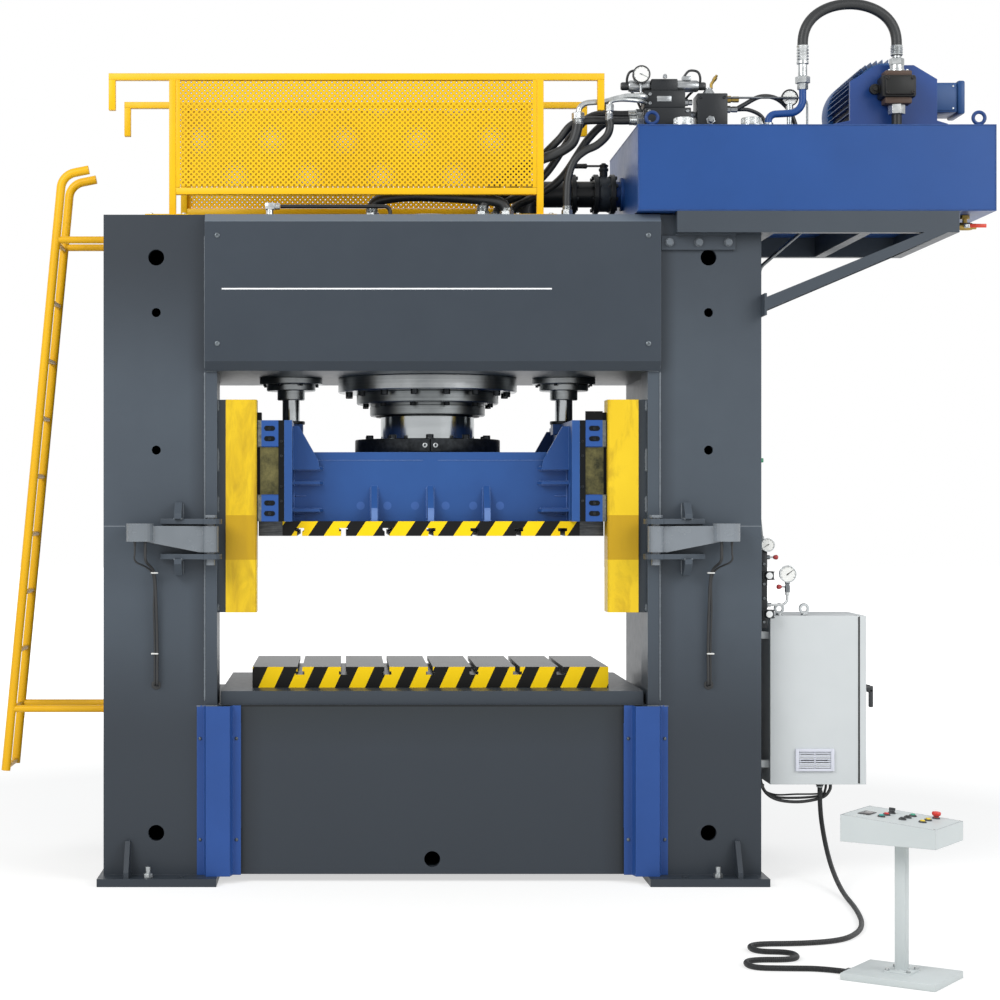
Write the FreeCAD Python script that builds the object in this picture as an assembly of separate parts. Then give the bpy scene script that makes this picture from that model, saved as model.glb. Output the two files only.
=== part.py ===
import FreeCAD, Part

import math
import os

# Hydraulic press: closed welded frame, guided slide, main and return cylinders, oil tank with its
# pump set on top, ladder, railings, electrical cabinet and a free-standing push-button console.
# Millimetres. X right, Y into the depth, Z up. The origin lies on the floor, at the middle of the
# four anchor holes, which is also under the axis of the main cylinder.

V = FreeCAD.Vector
os.makedirs("parts", exist_ok=True)

# ---- Driving dimensions ----------------------------------------------------------------------
# Frame
COLUMN_GAP = 2506.0          # clear width between the columns
COLUMN_WIDTH = 557.0
COLUMN_DEPTH = 1450.0
COLUMN_TOP = 3676.0
COLUMN_PLATE = 30.0
FOOT_THICK = 43.0
FOOT_OVERHANG_IN = 72.0
FOOT_OVERHANG_OUT = 22.0
FOOT_OVERHANG_END = 144.0
ANCHOR_FROM_COLUMN = 127.0   # anchor holes, outwards from the columns' inner faces
ANCHOR_BEYOND_COLUMN = 72.0  # and out from their front and rear faces
ANCHOR_HOLE = 42.0
JACK_SCREW = 30.0
JACK_FROM_COLUMN = 304.0
JACK_BEYOND_COLUMN = 90.0
HOLE_FROM_COLUMN = 267.0     # line of holes in the column fronts
COLUMN_BIG_HOLE = 88.0
COLUMN_SMALL_HOLE = 50.0
COLUMN_CABLE_HOLE = 40.0
CABLE_HOLE_Z = 1088.0
CROWN_HEIGHT = 861.0
CROWN_PLATE = 40.0
EDGE_BAR_WIDTH = 68.0        # upright bars along the front inner edges of the columns
EDGE_BAR_DEPTH = 260.0
COVER_STANDOFF = 60.0        # how far the crown's front cover stands out
COVER_WALL = 6.0
BED_TOP = 975.0
BED_PLATE = 40.0
BED_RECESS = 25.0            # bed front set back from the column fronts
TABLE_PLATE_GAP = 85.0       # table plate to each column
TABLE_PLATE_THICK = 75.0
TABLE_PLATE_DEPTH = 1350.0

# Bolster and platen
BOLSTER_HALF = 1002.0
BOLSTER_DEPTH = 900.0
BOLSTER_THICK = 117.0
PLATEN_HALF = 830.0
PLATEN_DEPTH = 1080.0
PLATEN_THICK = 82.0
PLATEN_WING_HALF = 964.0
PLATEN_BOTTOM = 1905.0
SLOT_COUNT = 7
SLOT_PITCH = 245.0
SLOT_NECK = 28.0
SLOT_HEAD = 50.0
SLOT_HEAD_HEIGHT = 18.0
SLOT_DEPTH = 44.0

# Slide
SLIDE_HALF = 774.0
SLIDE_DEPTH = 860.0
SLIDE_WALL = 30.0
SLIDE_HEIGHT = 389.0
SLIDE_TOP_PLATE = 46.0
END_PLATE_THICK = 43.0
END_PLATE_DEPTH = 1340.0
END_PLATE_HEIGHT = 560.0
RIB_THICK = 16.0
RIB_STANDOFF = 60.0
STIFFENER_THICK = 35.0
STIFFENER_HEIGHT = 200.0
STIFFENER_STANDOFF = 100.0
GIB_BAR_THICK = 32.0
GIB_BAR_DEPTH = 130.0
GIB_BLOCK_HEIGHT = 145.0
GIB_BLOCK_WIDTH = 115.0
LINER_STANDOUT = 4.0         # bronze face beyond the gib blocks
LINER_INSET_FRONT = 25.0
LINER_INSET_BACK = 10.0
GIB_WEB = 30.0               # web between the long rear gib blocks
WIPER_HEIGHT = 44.0
WIPER_WIDTH = 24.0
SENSOR_BRACKET_HEIGHT = 50.0
SENSOR_BRACKET_THICK = 14.0

# Guide rails
RAIL_WIDTH = 170.5
RAIL_DEPTH = 160.0
RAIL_SETBACK = 30.0         # rail fronts behind the column fronts
RAIL_BOTTOM = 1485.0
RAIL_UNDER_CROWN = 155.0
RAIL_BEVEL = 8.0
REAR_GUIDE_THICK = 60.0      # flat guides on the rear of the columns' inner walls
REAR_GUIDE_MARGIN = 25.0
GUIDE_CLEARANCE = 0.5

# Cylinders
MAIN_FLANGE = 1040.0
MAIN_FLANGE_THICK = 85.0
MAIN_BARREL = 760.0
MAIN_BORE = 560.0
MAIN_BORE_CAP = 116.0        # steel left over the bore, below the crown's top
MAIN_HEAD = 466.0
MAIN_CAP_RISE = 45.0
MAIN_BOSS = 346.0
MAIN_HEAD_HEIGHT = 80.0
GLAND_RING = 825.0
GLAND_RING_THICK = 67.0
GLAND_NOSE = 669.0
GLAND_NOSE_LENGTH = 69.0
RAM = 545.0
RAM_ENGAGEMENT = 585.0       # ram inside the crown with the slide as modelled
RAM_FLANGE = 845.0
RAM_FLANGE_THICK = 80.0
RUNNING_FIT = 0.05           # radial clearance of a rod in its gland
RETURN_FLANGE = 367.0
RETURN_RING = 284.0
RETURN_NOSE = 160.0
RETURN_STEP = 37.0
RETURN_NOSE_LENGTH = 53.0
RETURN_BARREL = 240.0
RETURN_BORE = 120.0
RETURN_BARREL_LENGTH = 635.0
RETURN_ROD = 102.0
RETURN_ENGAGEMENT = 485.0
RETURN_HEADROOM = 100.0

# Swing arms
ARM_PIVOT_INSET = 38.0       # pivot axis inwards from the column's inner face
ARM_PIVOT_STANDOFF = 105.0
ARM_BARREL = 88.0
ARM_PIN = 50.0
ARM_REACH = 385.0            # pivot to the round boss at the arm's end
ARM_PLATE = 24.0
ARM_BOSS = 150.0
ARM_BOTTOM = 1820.0
ARM_TOP = 1963.0
LUG_THICK = 28.0

# Corner guards
GUARD_SHEET = 4.0
GUARD_STANDOFF = 62.0

# Tank and its frame
TANK_OVERLAP = 136.0         # tank reaching inwards over the column's inner face
TANK_LENGTH = 1958.0
TANK_STANDOUT = 100.0
TANK_DEPTH = 1257.0
TANK_HEIGHT = 472.0
TANK_WALL = 6.0
TANK_LIFT = 8.0              # tank floor above the column tops
BEAM_HEIGHT = 117.0
BEAM_WIDTH = 60.0
BEAM_START = 80.0            # front beam, from the column's inner face
BEAM_SHORTFALL = 202.0       # beams end before the tank does
STRUT_SIZE = 60.0

# Pump set
MOTOR_FROM_TANK_END = 505.0
MOTOR_AXIS_HEIGHT = 222.0
MOTOR_BODY = 350.0
MOTOR_LENGTH = 700.0
FIN_COUNT = 18
PUMP_PLATE_SETBACK = 225.0
PUMP_PLATE_THICK = 25.0
PUMP_PLATE_WIDTH = 485.0
PUMP_PLATE_HEIGHT = 368.0
HOSE_DIAMETER = 58.0

# Railings and ladder
RAIL_TUBE = 38.0
RAILING_SETBACK = 100.0
RAILING_SPACING = 860.0
RAILING_POST_OUT = 184.0     # left post beyond the column's inner face
RAILING_TANK_GAP = 516.0     # right post to the tank
RAILING_HEIGHT = 776.0
RAILING_LOW_HEIGHT = 142.0
RAILING_END = 354.0          # bent-down ends beyond the posts
RAILING_DROP = 185.0
SHEET_THICK = 3.0
LADDER_TUBE = 50.0
LADDER_SETBACK = 250.0
LADDER_WIDTH = 370.0
LADDER_FOOT_OUT = 576.0      # foot of the ladder from the column side
LADDER_TOP_OUT = 260.0
LADDER_FOOT_Z = 588.0
LADDER_RISE = 235.0          # bend of the stringers over the column top
LADDER_BRACKETS = (934.0, 3567.0)
RUNG_TUBE = 30.0
RUNG_PITCH = 327.5
RUNG_LOWEST = 604.0

# Cabinet
CABINET_GAP = 79.0           # cabinet to the column side
CABINET_WIDTH = 498.0
CABINET_SETBACK = 150.0
CABINET_DEPTH = 450.0
CABINET_BOTTOM = 521.0
CABINET_HEIGHT = 940.0
CABINET_SHEET = 3.0
DOOR_THICK = 35.0
HINGE_PIN = 12.0

# Console
CONSOLE_X = 1960.0
CONSOLE_Y = -3165.0
CONSOLE_TURN = 55.0         # degrees about Z
CONSOLE_BASE_HEIGHT = 32.0
CONSOLE_POST = 76.0
CONSOLE_LOW = 606.0
CONSOLE_FRONT_HEIGHT = 84.0
CONSOLE_BACK_HEIGHT = 118.0
BUTTON_TRAVEL = 4.0

# Clearances between separate pieces
HOLE_CLEARANCE = 1.0         # radial, a screw or barrel in its hole
PIVOT_CLEARANCE = 0.05       # radial, a pin in its bush
SKIN_GAP = 0.3               # between round faces of two pieces that touch elsewhere
BAR_SIDES = 12               # facets round a bolt, boss or disc that fits nothing
RING_SIDES = 32              # facets round a flange, barrel or gland
TUBE_SIDES = 8               # facets round a pipe, hose or lead
BEND_STEP = 30.0             # largest turn between two straight pieces of a bend, degrees

# ---- Derived places --------------------------------------------------------------------------
COLUMN_IN = COLUMN_GAP / 2
COLUMN_OUT = COLUMN_IN + COLUMN_WIDTH
FRONT = -COLUMN_DEPTH / 2
ANCHOR_HALF_X = COLUMN_IN + ANCHOR_FROM_COLUMN
ANCHOR_HALF_Y = COLUMN_DEPTH / 2 + ANCHOR_BEYOND_COLUMN
JACK_SCREW_X = COLUMN_IN + JACK_FROM_COLUMN
JACK_SCREW_Y = COLUMN_DEPTH / 2 + JACK_BEYOND_COLUMN
COLUMN_HOLE_X = COLUMN_IN + HOLE_FROM_COLUMN
CROWN_BOTTOM = COLUMN_TOP - CROWN_HEIGHT
TABLE_PLATE_HALF = COLUMN_IN - TABLE_PLATE_GAP
BOLSTER_BOTTOM = BED_TOP + TABLE_PLATE_THICK
BOLSTER_TOP = BOLSTER_BOTTOM + BOLSTER_THICK
SLIDE_BOTTOM = PLATEN_BOTTOM + PLATEN_THICK
SLIDE_TOP = SLIDE_BOTTOM + SLIDE_HEIGHT
END_PLATE_TOP = SLIDE_BOTTOM + END_PLATE_HEIGHT
END_PLATE_OUT = SLIDE_HALF + END_PLATE_THICK
GIB_BAR_OUT = END_PLATE_OUT + GIB_BAR_THICK
GIB_BLOCK_OUT = GIB_BAR_OUT + GIB_BLOCK_WIDTH
GIB_FACE = GIB_BLOCK_OUT + LINER_STANDOUT
RAIL_INNER = GIB_FACE + GUIDE_CLEARANCE
RAIL_OUTER = RAIL_INNER + RAIL_WIDTH
REAR_GIB_FACE = COLUMN_IN - REAR_GUIDE_THICK - GUIDE_CLEARANCE
REAR_BLOCK_OUT = REAR_GIB_FACE - LINER_STANDOUT
RAIL_FRONT = FRONT + RAIL_SETBACK
RAIL_TOP = CROWN_BOTTOM - RAIL_UNDER_CROWN
MAIN_BORE_TOP = COLUMN_TOP - MAIN_BORE_CAP
RAM_TOP = CROWN_BOTTOM + RAM_ENGAGEMENT
RETURN_X = SLIDE_HALF + END_PLATE_THICK / 2
RETURN_ROD_TOP = CROWN_BOTTOM + RETURN_ENGAGEMENT
RETURN_BARREL_TOP = CROWN_BOTTOM + RETURN_BARREL_LENGTH
ARM_PIVOT_X = COLUMN_IN - ARM_PIVOT_INSET
ARM_PIVOT_Y = FRONT - ARM_PIVOT_STANDOFF
TANK_LEFT = COLUMN_IN - TANK_OVERLAP
TANK_FRONT = FRONT - TANK_STANDOUT
TANK_BOTTOM = COLUMN_TOP + TANK_LIFT
TANK_TOP = TANK_BOTTOM + TANK_HEIGHT
TANK_RIGHT = TANK_LEFT + TANK_LENGTH
TANK_BACK = TANK_FRONT + TANK_DEPTH
BEAM_LEFT = COLUMN_IN + BEAM_START
BEAM_RIGHT = TANK_RIGHT - BEAM_SHORTFALL
MOTOR_X = TANK_RIGHT - MOTOR_FROM_TANK_END
MOTOR_Z = TANK_TOP + MOTOR_AXIS_HEIGHT
PUMP_PLATE_Y = TANK_FRONT + PUMP_PLATE_SETBACK
RAILING_FRONT_Y = FRONT + RAILING_SETBACK
RAILING_REAR_Y = RAILING_FRONT_Y + RAILING_SPACING
RAILING_LEFT_POST = -COLUMN_IN - RAILING_POST_OUT
RAILING_RIGHT_POST = TANK_LEFT - RAILING_TANK_GAP
RAILING_TOP = COLUMN_TOP + RAILING_HEIGHT
RAILING_LOW = COLUMN_TOP + RAILING_LOW_HEIGHT
LADDER_NEAR_Y = FRONT + LADDER_SETBACK
LADDER_FAR_Y = LADDER_NEAR_Y + LADDER_WIDTH
LADDER_FOOT_X = -COLUMN_OUT - LADDER_FOOT_OUT
LADDER_TOP_X = -COLUMN_OUT - LADDER_TOP_OUT
LADDER_TOP_Z = COLUMN_TOP + LADDER_RISE
RUNG_COUNT = int((COLUMN_TOP - RUNG_LOWEST) / RUNG_PITCH) + 1
CABINET_LEFT = COLUMN_OUT + CABINET_GAP
CABINET_FRONT = FRONT + CABINET_SETBACK
CABINET_RIGHT = CABINET_LEFT + CABINET_WIDTH
CABINET_BACK = CABINET_FRONT + CABINET_DEPTH
CABINET_TOP = CABINET_BOTTOM + CABINET_HEIGHT

nodes = {}


# ---- Shape helpers ---------------------------------------------------------------------------
def box(x0, x1, y0, y1, z0, z1):
    return Part.makeBox(x1 - x0, y1 - y0, z1 - z0, V(x0, y0, z0))


def rod(start, end, diameter):
    axis = V(*end) - V(*start)
    return Part.makeCylinder(diameter / 2, axis.Length, V(*start), axis)


def upright(x, y, z0, z1, diameter):
    return rod((x, y, z0), (x, y, z1), diameter)


def faceted(start, end, diameter, sides=BAR_SIDES):
    """A round bar with flat facets, for what fits nothing closely."""
    first = V(*start)
    axis = V(*end) - first
    return Part.Face(section_across(first, axis, diameter, sides)).extrude(axis)


def stub(x, y, z0, z1, diameter, sides=BAR_SIDES):
    return faceted((x, y, z0), (x, y, z1), diameter, sides)


def hexagon(x, y, z, across, height):
    """A hexagon head standing on z."""
    radius = across / math.sqrt(3)
    corners = [V(x + radius * math.cos(math.radians(a)), y + radius * math.sin(math.radians(a)), z)
               for a in range(0, 361, 60)]
    return Part.Face(Part.makePolygon(corners)).extrude(V(0, 0, height))


def fuse(shapes):
    whole = shapes[0].multiFuse(shapes[1:]) if len(shapes) > 1 else shapes[0]
    return whole.removeSplitter()


def mirror_x(shape):
    return shape.mirror(V(0, 0, 0), V(1, 0, 0))


def mirror_y(shape, y=0.0):
    return shape.mirror(V(0, y, 0), V(0, 1, 0))


def plate_xz(points, y0, y1):
    """A flat plate with its outline in the X-Z plane."""
    loop = [V(x, y0, z) for x, z in points]
    return Part.Face(Part.makePolygon(loop + loop[:1])).extrude(V(0, y1 - y0, 0))


def plate_yz(points, x0, x1):
    """A flat plate with its outline in the Y-Z plane."""
    loop = [V(x0, y, z) for y, z in points]
    return Part.Face(Part.makePolygon(loop + loop[:1])).extrude(V(x1 - x0, 0, 0))


def plate_xy(points, z0, z1):
    """A flat plate with its outline in the X-Y plane."""
    loop = [V(x, y, z0) for x, y in points]
    return Part.Face(Part.makePolygon(loop + loop[:1])).extrude(V(0, 0, z1 - z0))


def stepped(x, y, steps):
    """Round steps one on another, from (low z, high z, diameter)."""
    return fuse([stub(x, y, low, high, diameter, RING_SIDES) for low, high, diameter in steps])


def route(points, radius):
    """Straight runs joined by tangent arcs of the given radius, or as large as the runs allow."""
    pts = [V(*p) for p in points]
    edges = []
    start = pts[0]
    for before, corner, after in zip(pts, pts[1:], pts[2:]):
        u = before - corner
        w = after - corner
        half = (math.pi - u.getAngle(w)) / 2
        shorter = min(u.Length, w.Length)
        r = 0.45 * shorter / math.tan(half)
        if radius:
            r = min(r, radius)
        reach = r * math.tan(half)
        u.normalize()
        w.normalize()
        a = corner + u * reach
        b = corner + w * reach
        middle = u + w
        middle.normalize()
        m = corner + middle * (r / math.cos(half) - r)
        edges.append(Part.LineSegment(start, a).toShape())
        edges.append(Part.Arc(a, m, b).toShape())
        start = b
    edges.append(Part.LineSegment(start, pts[-1]).toShape())
    return Part.Wire(edges)


def section_across(point, along, diameter, sides):
    """A regular polygon with the area of the round section, square to the route."""
    step = 2 * math.pi / sides
    radius = diameter / 2 * math.sqrt(2 * math.pi / (sides * math.sin(step)))
    axis = V(along).normalize()
    side = axis.cross(V(0, 1, 0) if abs(axis.y) < 0.9 else V(1, 0, 0)).normalize()
    up = axis.cross(side)
    ring = [point + side * (radius * math.cos(step * (i + 0.5))) + up * (radius * math.sin(step * (i + 0.5)))
            for i in range(sides)]
    return Part.makePolygon(ring + ring[:1])


def chords(points, radius, largest_turn):
    """The route with each arc replaced by short straight pieces."""
    places = []
    for edge in route(points, radius).Edges:
        turn = 0.0
        if edge.Curve.TypeId == "Part::GeomCircle":
            turn = math.degrees(edge.Length / edge.Curve.Radius)
        pieces = max(1, math.ceil(turn / largest_turn))
        for place in edge.discretize(pieces + 1):
            if not places or (place - places[-1]).Length > 0.01:
                places.append(place)
    return places


def tube(points, diameter, radius=0.0, sides=TUBE_SIDES, largest_turn=BEND_STEP):
    """A pipe, hose or lead along its route, faceted round its section and in its bends."""
    places = chords(points, radius, largest_turn)
    section = section_across(places[0], places[1] - places[0], diameter, sides)
    mitred = 1
    return Part.makePolygon(places).makePipeShell([section], True, False, mitred)




def ring_of(count, radius, start=0.0):
    """Places on a bolt circle, as (x, y) steps from its middle."""
    angles = [math.radians(start + 360.0 * i / count) for i in range(count)]
    return [(radius * math.cos(a), radius * math.sin(a)) for a in angles]


def both(name, shape):
    """One piece for the right side and its mirror image for the left."""
    nodes["right_" + name] = shape
    nodes["left_" + name] = mirror_x(shape)


# ---- Frame -----------------------------------------------------------------------------------
def column():
    """Welded box column with its foot plate, foot ribs and the hinge lugs of the swing arm."""
    post = box(COLUMN_IN, COLUMN_OUT, FRONT, -FRONT, FOOT_THICK, COLUMN_TOP)
    post = post.cut(box(COLUMN_IN + COLUMN_PLATE, COLUMN_OUT - COLUMN_PLATE, FRONT + COLUMN_PLATE,
                        -FRONT - COLUMN_PLATE, FOOT_THICK, COLUMN_TOP - COLUMN_PLATE))
    holes = [(COLUMN_TOP - 236, COLUMN_BIG_HOLE), (COLUMN_TOP - 539, COLUMN_SMALL_HOLE),
             (2380, COLUMN_SMALL_HOLE),
             (CABLE_HOLE_Z, COLUMN_CABLE_HOLE), (273, COLUMN_BIG_HOLE)]
    for z, diameter in holes:
        post = post.cut(faceted((COLUMN_HOLE_X, FRONT - 1, z),
                                (COLUMN_HOLE_X, FRONT + COLUMN_PLATE + 1, z), diameter, 16))
    edge_bar = box(COLUMN_IN - EDGE_BAR_WIDTH, COLUMN_IN, FRONT, FRONT + EDGE_BAR_DEPTH, BED_TOP,
                   CROWN_BOTTOM)
    foot = box(COLUMN_IN - FOOT_OVERHANG_IN, COLUMN_OUT + FOOT_OVERHANG_OUT,
               FRONT - FOOT_OVERHANG_END, -FRONT + FOOT_OVERHANG_END, 0, FOOT_THICK)
    rib_x = COLUMN_OUT - 136
    rib = plate_yz([(FRONT, FOOT_THICK), (FRONT, 234), (FRONT - 30, 234),
                    (FRONT - FOOT_OVERHANG_END + 14, 75), (FRONT - FOOT_OVERHANG_END + 14, FOOT_THICK)],
                   rib_x - 14, rib_x + 14)
    pieces = [post, foot, edge_bar, rib, mirror_y(rib)]
    pieces += [hinge_lug(ARM_BOTTOM - 10 - LUG_THICK), hinge_lug(ARM_TOP + 11)]
    whole = fuse(pieces)
    for y in (-1, 1):
        whole = whole.cut(upright(ANCHOR_HALF_X, y * ANCHOR_HALF_Y, -1, FOOT_THICK + 1, ANCHOR_HOLE))
        whole = whole.cut(stub(JACK_SCREW_X, y * JACK_SCREW_Y, -1, FOOT_THICK + 1,
                               JACK_SCREW + 2 * HOLE_CLEARANCE))
    return whole


def hinge_lug(z):
    """A plate standing out of the column front, with the round eye that holds the arm's pin."""
    eye = stub(ARM_PIVOT_X, ARM_PIVOT_Y, z, z + LUG_THICK, ARM_BARREL + 30, 16)
    arm = plate_xy([(ARM_PIVOT_X - 59, ARM_PIVOT_Y), (ARM_PIVOT_X + 40, ARM_PIVOT_Y - 43),
                    (COLUMN_HOLE_X - 28, FRONT - 55), (COLUMN_HOLE_X - 28, FRONT),
                    (COLUMN_IN, FRONT), (ARM_PIVOT_X - 59, FRONT - 30)], z, z + LUG_THICK)
    lug = eye.fuse(arm)
    return lug.cut(upright(ARM_PIVOT_X, ARM_PIVOT_Y, z - 1, z + LUG_THICK + 1,
                           ARM_PIN + 2 * PIVOT_CLEARANCE))


def crown():
    """Top beam: a welded box with bores for the three cylinders."""
    beam = box(-COLUMN_IN, COLUMN_IN, FRONT, -FRONT, CROWN_BOTTOM, COLUMN_TOP)
    beam = beam.cut(box(-COLUMN_IN + CROWN_PLATE, COLUMN_IN - CROWN_PLATE, FRONT + CROWN_PLATE,
                        -FRONT - CROWN_PLATE, CROWN_BOTTOM + CROWN_PLATE, COLUMN_TOP - CROWN_PLATE))
    beam = beam.cut(stub(0, 0, CROWN_BOTTOM - 1, CROWN_BOTTOM + CROWN_PLATE + 1,
                         MAIN_BARREL + 2 * HOLE_CLEARANCE, RING_SIDES))
    beam = beam.cut(stub(0, 0, COLUMN_TOP - CROWN_PLATE - 1, COLUMN_TOP + 1,
                         MAIN_HEAD + 2 * HOLE_CLEARANCE, RING_SIDES))
    for x in (-RETURN_X, RETURN_X):
        beam = beam.cut(stub(x, 0, CROWN_BOTTOM - 1, CROWN_BOTTOM + CROWN_PLATE + 1,
                             RETURN_BARREL + 2 * HOLE_CLEARANCE, RING_SIDES))
    return beam


def cover_profile(wall):
    """Section of the crown's front cover: bevelled along its top and bottom edges."""
    out = FRONT - COVER_STANDOFF + wall
    low = CROWN_BOTTOM + wall
    high = COLUMN_TOP - wall
    return [(FRONT, low), (FRONT - 20, low), (out, low + 52), (out, high - 45), (FRONT - 20, high),
            (FRONT, high)]


def crown_cover():
    """Folded sheet cover on the crown's front, open at its back."""
    half = COLUMN_IN - 3
    shell = plate_yz(cover_profile(0), -half, half)
    return shell.cut(plate_yz(cover_profile(COVER_WALL), -half + COVER_WALL, half - COVER_WALL))


def bed():
    """Welded bed box between the columns with the thick table plate on top."""
    body = box(-COLUMN_IN, COLUMN_IN, FRONT + BED_RECESS, -FRONT - BED_RECESS, FOOT_THICK, BED_TOP)
    body = body.cut(box(-COLUMN_IN + BED_PLATE, COLUMN_IN - BED_PLATE, FRONT + BED_RECESS + BED_PLATE,
                        -FRONT - BED_RECESS - BED_PLATE, FOOT_THICK + BED_PLATE, BED_TOP - BED_PLATE))
    body = body.cut(faceted((0, FRONT, 125), (0, FRONT + BED_RECESS + BED_PLATE + 1, 125),
                            COLUMN_BIG_HOLE, 16))
    table = box(-TABLE_PLATE_HALF, TABLE_PLATE_HALF, -TABLE_PLATE_DEPTH / 2, TABLE_PLATE_DEPTH / 2,
                BED_TOP, BED_TOP + TABLE_PLATE_THICK)
    return fuse([body, table])


def t_slots(face_z, up, half_depth):
    """Seven T-slots cut from a face; up is +1 when the slots open upwards, -1 when downwards."""
    cuts = []
    for i in range(SLOT_COUNT):
        x = (i - (SLOT_COUNT - 1) / 2) * SLOT_PITCH
        neck = sorted([face_z + up, face_z - up * SLOT_DEPTH])
        head = sorted([face_z - up * (SLOT_DEPTH - SLOT_HEAD_HEIGHT), face_z - up * SLOT_DEPTH])
        cuts.append(box(x - SLOT_NECK / 2, x + SLOT_NECK / 2, -half_depth - 1, half_depth + 1, *neck))
        cuts.append(box(x - SLOT_HEAD / 2, x + SLOT_HEAD / 2, -half_depth - 1, half_depth + 1, *head))
    return cuts


def bolster():
    plate = box(-BOLSTER_HALF, BOLSTER_HALF, -BOLSTER_DEPTH / 2, BOLSTER_DEPTH / 2,
                BOLSTER_BOTTOM, BOLSTER_TOP)
    return plate.cut(t_slots(BOLSTER_TOP, 1, BOLSTER_DEPTH / 2))


def corner_guard():
    """Hat-section sheet guard over the joint of column and bed, screwed on at both flanges."""
    outer = COLUMN_IN + 43
    inner = COLUMN_IN - 199
    out = FRONT - GUARD_STANDOFF
    sheet = plate_xy(hat_outline(inner, outer, out), FOOT_THICK, BED_TOP)
    packer = box(inner, inner + 40, FRONT, FRONT + BED_RECESS, 300, BED_TOP - 100)
    return fuse([sheet, packer])


def hat_outline(inner, outer, out):
    """Hat section in the X-Y plane, one sheet thick."""
    t = GUARD_SHEET
    back = [(inner, FRONT), (inner + 44 + t, FRONT), (inner + 58 + t, out + t),
            (outer - 54 - t, out + t), (outer - 40 - t, FRONT), (outer, FRONT)]
    front = [(outer, FRONT - t), (outer - 40, FRONT - t), (outer - 54, out), (inner + 58, out),
             (inner + 44, FRONT - t), (inner, FRONT - t)]
    return back + front


def guide_rails():
    """Front guide rail of one column on its backing bar, and the flat guide on the rear wall."""
    front = RAIL_FRONT
    back = front + RAIL_DEPTH
    rail = plate_xy([(RAIL_INNER, front + RAIL_BEVEL), (RAIL_INNER + RAIL_BEVEL, front),
                     (RAIL_OUTER, front), (RAIL_OUTER, back), (RAIL_INNER, back)],
                    RAIL_BOTTOM, RAIL_TOP)
    backing = box(RAIL_OUTER, COLUMN_IN - EDGE_BAR_WIDTH, front + 20, back, RAIL_BOTTOM, RAIL_TOP)
    rear = END_PLATE_DEPTH / 2
    flat = box(REAR_GIB_FACE + GUIDE_CLEARANCE, COLUMN_IN, rear - GIB_BAR_DEPTH - REAR_GUIDE_MARGIN,
               rear + REAR_GUIDE_MARGIN, RAIL_BOTTOM, RAIL_TOP)
    return Part.makeCompound([rail.fuse(backing).removeSplitter(), flat])


# ---- Cylinders and slide ---------------------------------------------------------------------
def main_cylinder():
    flange_z = CROWN_BOTTOM - MAIN_FLANGE_THICK
    shoulder = COLUMN_TOP - CROWN_PLATE
    body = stepped(0, 0, [(flange_z, CROWN_BOTTOM, MAIN_FLANGE), (CROWN_BOTTOM, shoulder, MAIN_BARREL),
                          (shoulder, COLUMN_TOP + MAIN_CAP_RISE, MAIN_HEAD),
                          (COLUMN_TOP + MAIN_CAP_RISE, COLUMN_TOP + MAIN_HEAD_HEIGHT, MAIN_BOSS)])
    return body.cut(upright(0, 0, flange_z - 1, MAIN_BORE_TOP, MAIN_BORE))


def cylinder_gland():
    """Stepped gland ring that guides and seals the ram."""
    top = CROWN_BOTTOM - MAIN_FLANGE_THICK
    step = top - GLAND_RING_THICK
    low = step - GLAND_NOSE_LENGTH
    body = stepped(0, 0, [(low, step, GLAND_NOSE), (step, top, GLAND_RING)])
    return body.cut(upright(0, 0, low - 1, top + 1, RAM + 2 * RUNNING_FIT))


def return_cylinder(x):
    flange_z = CROWN_BOTTOM - RETURN_STEP
    ring_z = flange_z - RETURN_STEP
    nose_z = ring_z - RETURN_NOSE_LENGTH
    body = stepped(x, 0, [(nose_z, ring_z, RETURN_NOSE), (ring_z, flange_z, RETURN_RING),
                          (flange_z, CROWN_BOTTOM, RETURN_FLANGE),
                          (CROWN_BOTTOM, RETURN_BARREL_TOP, RETURN_BARREL)])
    body = body.cut(upright(x, 0, nose_z - 1, ring_z + 1, RETURN_ROD + 2 * RUNNING_FIT))
    return body.cut(upright(x, 0, ring_z, RETURN_ROD_TOP + RETURN_HEADROOM, RETURN_BORE))


def ram():
    """Polished main ram, standing on the slide."""
    return upright(0, 0, SLIDE_TOP, RAM_TOP, RAM)


def ram_clamp():
    """Clamp ring in two halves that ties the ram to the slide."""
    ring = stub(0, 0, SLIDE_TOP, SLIDE_TOP + RAM_FLANGE_THICK, RAM_FLANGE, RING_SIDES)
    ring = ring.cut(upright(0, 0, SLIDE_TOP - 1, SLIDE_TOP + RAM_FLANGE_THICK + 1, RAM + 2 * SKIN_GAP))
    halves = ring.cut(box(-2, 2, -RAM_FLANGE, RAM_FLANGE, SLIDE_TOP - 1, SLIDE_TOP + RAM_FLANGE))
    bolts = [hexagon(x, y, SLIDE_TOP + RAM_FLANGE_THICK, 46, 24) for x, y in ring_of(10, 355, 18)]
    return Part.makeCompound([solid for solid in halves.Solids] + bolts)


def return_rods():
    piston = RETURN_BORE - 2 * HOLE_CLEARANCE
    rods = []
    for x in (-RETURN_X, RETURN_X):
        shaft = upright(x, 0, END_PLATE_TOP, RETURN_ROD_TOP, RETURN_ROD)
        rods.append(shaft.fuse(upright(x, 0, RETURN_ROD_TOP - 50, RETURN_ROD_TOP, piston)))
    return Part.makeCompound(rods)


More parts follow.
